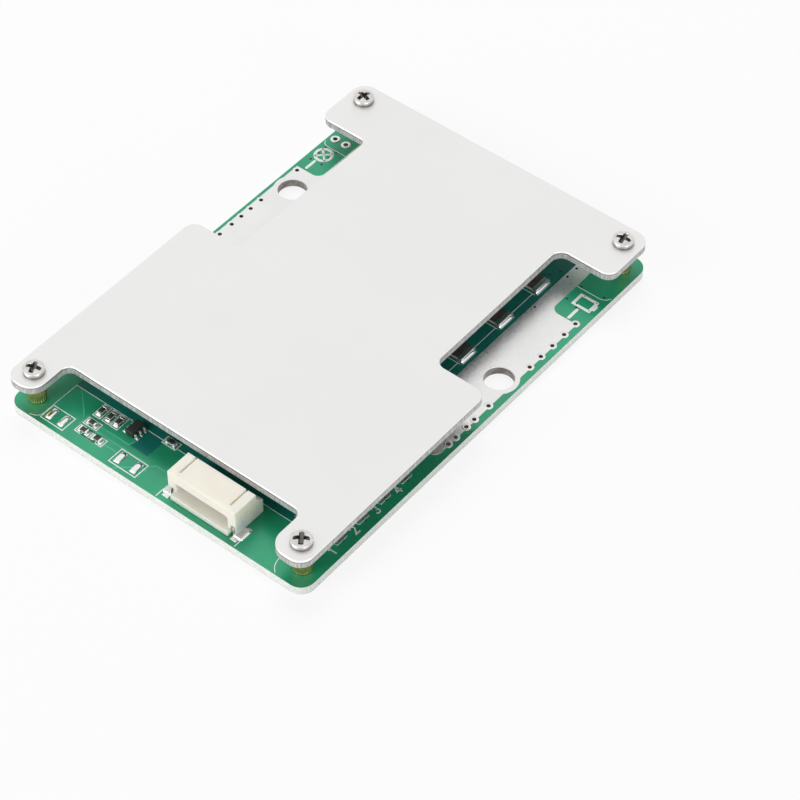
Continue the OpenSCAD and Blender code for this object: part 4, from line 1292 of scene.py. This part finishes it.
def seen_directly(tree):
    """1 for rays from the camera and for mirrored and refracted rays, else 0."""
    path = add_node(tree, "ShaderNodeLightPath")
    either = add_node(tree, "ShaderNodeMath", {0: path.outputs["Is Camera Ray"],
                                               1: path.outputs["Is Glossy Ray"]},
                      operation="MAXIMUM")
    any_of = add_node(tree, "ShaderNodeMath", {0: either.outputs["Value"],
                                               1: path.outputs["Is Transmission Ray"]},
                      operation="MAXIMUM")
    return any_of.outputs["Value"]


# The part of the floor's white that it gives by itself.
FLOOR_GLOW = 0.85
# How far the floor runs each way, and the lamps' places, in metres.
FLOOR_REACH = 3.0
KEY_PLACE, FILL_PLACE, SIDE_PLACE = (-0.34, 0.42, 0.84), (-0.35, -0.80, 0.42), (0.86, -0.30, 0.24)


def floor_finish(rgb):
    """A pale floor that keeps shadows and is part white by itself to what sees it."""
    material = bpy.data.materials.new("pale floor")
    material.use_nodes = True
    tree = material.node_tree
    shader = tree.nodes["Principled BSDF"]
    shader.inputs["Base Color"].default_value = (*rgb, 1.0)
    shader.inputs["Roughness"].default_value = 0.9
    shader.inputs["Specular IOR Level"].default_value = 0.0
    glow = add_node(tree, "ShaderNodeEmission", {"Color": (1.0, 1.0, 1.0, 1.0)})
    share = add_node(tree, "ShaderNodeMath", {0: seen_directly(tree), 1: FLOOR_GLOW},
                     operation="MULTIPLY")
    blend = add_node(tree, "ShaderNodeMixShader", {
        "Fac": share.outputs["Value"], 1: shader.outputs["BSDF"], 2: glow.outputs["Emission"]})
    tree.links.new(blend.outputs["Shader"],
                   tree.nodes["Material Output"].inputs["Surface"])
    return material


def soft_lamp(name, place, target, side, watts):
    """A square lamp at a place in metres, turned to the target."""
    data = bpy.data.lights.new(name, "AREA")
    data.shape = "SQUARE"
    data.size = side
    data.energy = watts
    lamp = bpy.data.objects.new(name, data)
    lamp.location = place
    lamp.rotation_euler = (Vector(target) - Vector(place)).to_track_quat("-Z", "Y").to_euler()
    bpy.context.scene.collection.objects.link(lamp)
    return lamp


class BOARD_OT_studio(BoardOperator, bpy.types.Operator):
    """Set up the floor, the even sky, the lamps and the camera"""

    bl_idname = "board.studio"
    bl_label = "Studio"

    def execute(self, context):
        scene = context.scene
        studio = scene.studio_settings
        scene.view_settings.view_transform = "Standard"
        soft_sky(scene, studio.sky)
        reach = FLOOR_REACH
        mesh = bpy.data.meshes.new("floor")
        mesh.from_pydata([(-reach, -reach, 0), (reach, -reach, 0), (reach, reach, 0),
                          (-reach, reach, 0)], [], [(0, 1, 2, 3)])
        floor = bpy.data.objects.new("floor", mesh)
        scene.collection.objects.link(floor)
        mesh.materials.append(floor_finish(studio.floor))
        centre = (0.0, 0.0, MASK_TOP)
        key = soft_lamp("key lamp", KEY_PLACE, centre, 0.6, studio.key)
        key.visible_glossy = False
        soft_lamp("fill lamp", FILL_PLACE, centre, 0.6, studio.fill)
        soft_lamp("side lamp", SIDE_PLACE, centre, 0.4, studio.side)
        self.camera(scene, studio)
        return {"FINISHED"}

    def camera(self, scene, studio):
        """The camera looks at its aim from its azimuth and elevation."""
        aim = Vector((studio.aim_right, -studio.aim_front, MASK_TOP))
        a, e = studio.azimuth, studio.elevation
        back = Vector((math.sin(a)*math.cos(e), -math.cos(a)*math.cos(e), math.sin(e)))
        data = bpy.data.cameras.new("camera")
        data.lens = studio.lens
        data.clip_start, data.clip_end = 0.01, 20.0
        camera = bpy.data.objects.new("camera", data)
        camera.location = aim + back*studio.distance
        camera.rotation_euler = (-back).to_track_quat("-Z", "Y").to_euler()
        scene.collection.objects.link(camera)
        scene.camera = camera


# ------------------------------------------------------------------ panel and run

SETTINGS = {
    "board_colours": BoardColours, "metal_colours": MetalColours, "part_colours": PartColours,
    "edge_sizes": EdgeSizes, "print_sizes": PrintSizes, "fixing_sizes": FixingSizes,
    "studio_settings": StudioSettings,
}
OPERATORS = [
    BOARD_OT_studio, BOARD_OT_circuit_board, BOARD_OT_copper, BOARD_OT_plate,
    BOARD_OT_screws, BOARD_OT_standoffs, BOARD_OT_socket, BOARD_OT_power_parts,
    BOARD_OT_small_parts, BOARD_OT_tracks, BOARD_OT_print,
]


class BOARD_PT_panel(bpy.types.Panel):
    """Lists the board's settings and makers"""

    bl_label = "Battery management board"
    bl_idname = "BOARD_PT_panel"
    bl_space_type = "VIEW_3D"
    bl_region_type = "UI"
    bl_category = "Board"

    def draw(self, context):
        for name in SETTINGS:
            group = getattr(context.scene, name)
            box = self.layout.box()
            box.label(text=name.replace("_", " ").capitalize())
            for key in group.__annotations__:
                box.prop(group, key)
        for operator in OPERATORS:
            self.layout.operator(operator.bl_idname)


def register():
    """Registers the settings, the operators and the panel."""
    for name, group in SETTINGS.items():
        bpy.utils.register_class(group)
        setattr(bpy.types.Scene, name, PointerProperty(type=group))
    for kind in [*OPERATORS, BOARD_PT_panel]:
        bpy.utils.register_class(kind)


def unregister():
    """Takes back what register() did."""
    for kind in [BOARD_PT_panel, *reversed(OPERATORS)]:
        bpy.utils.unregister_class(kind)
    for name, group in reversed(SETTINGS.items()):
        delattr(bpy.types.Scene, name)
        bpy.utils.unregister_class(group)


def main():
    """Registers the add-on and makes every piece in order."""
    register()
    for operator in OPERATORS:
        group, action = operator.bl_idname.split(".")
        getattr(getattr(bpy.ops, group), action)()


if __name__ == "__main__":
    main()
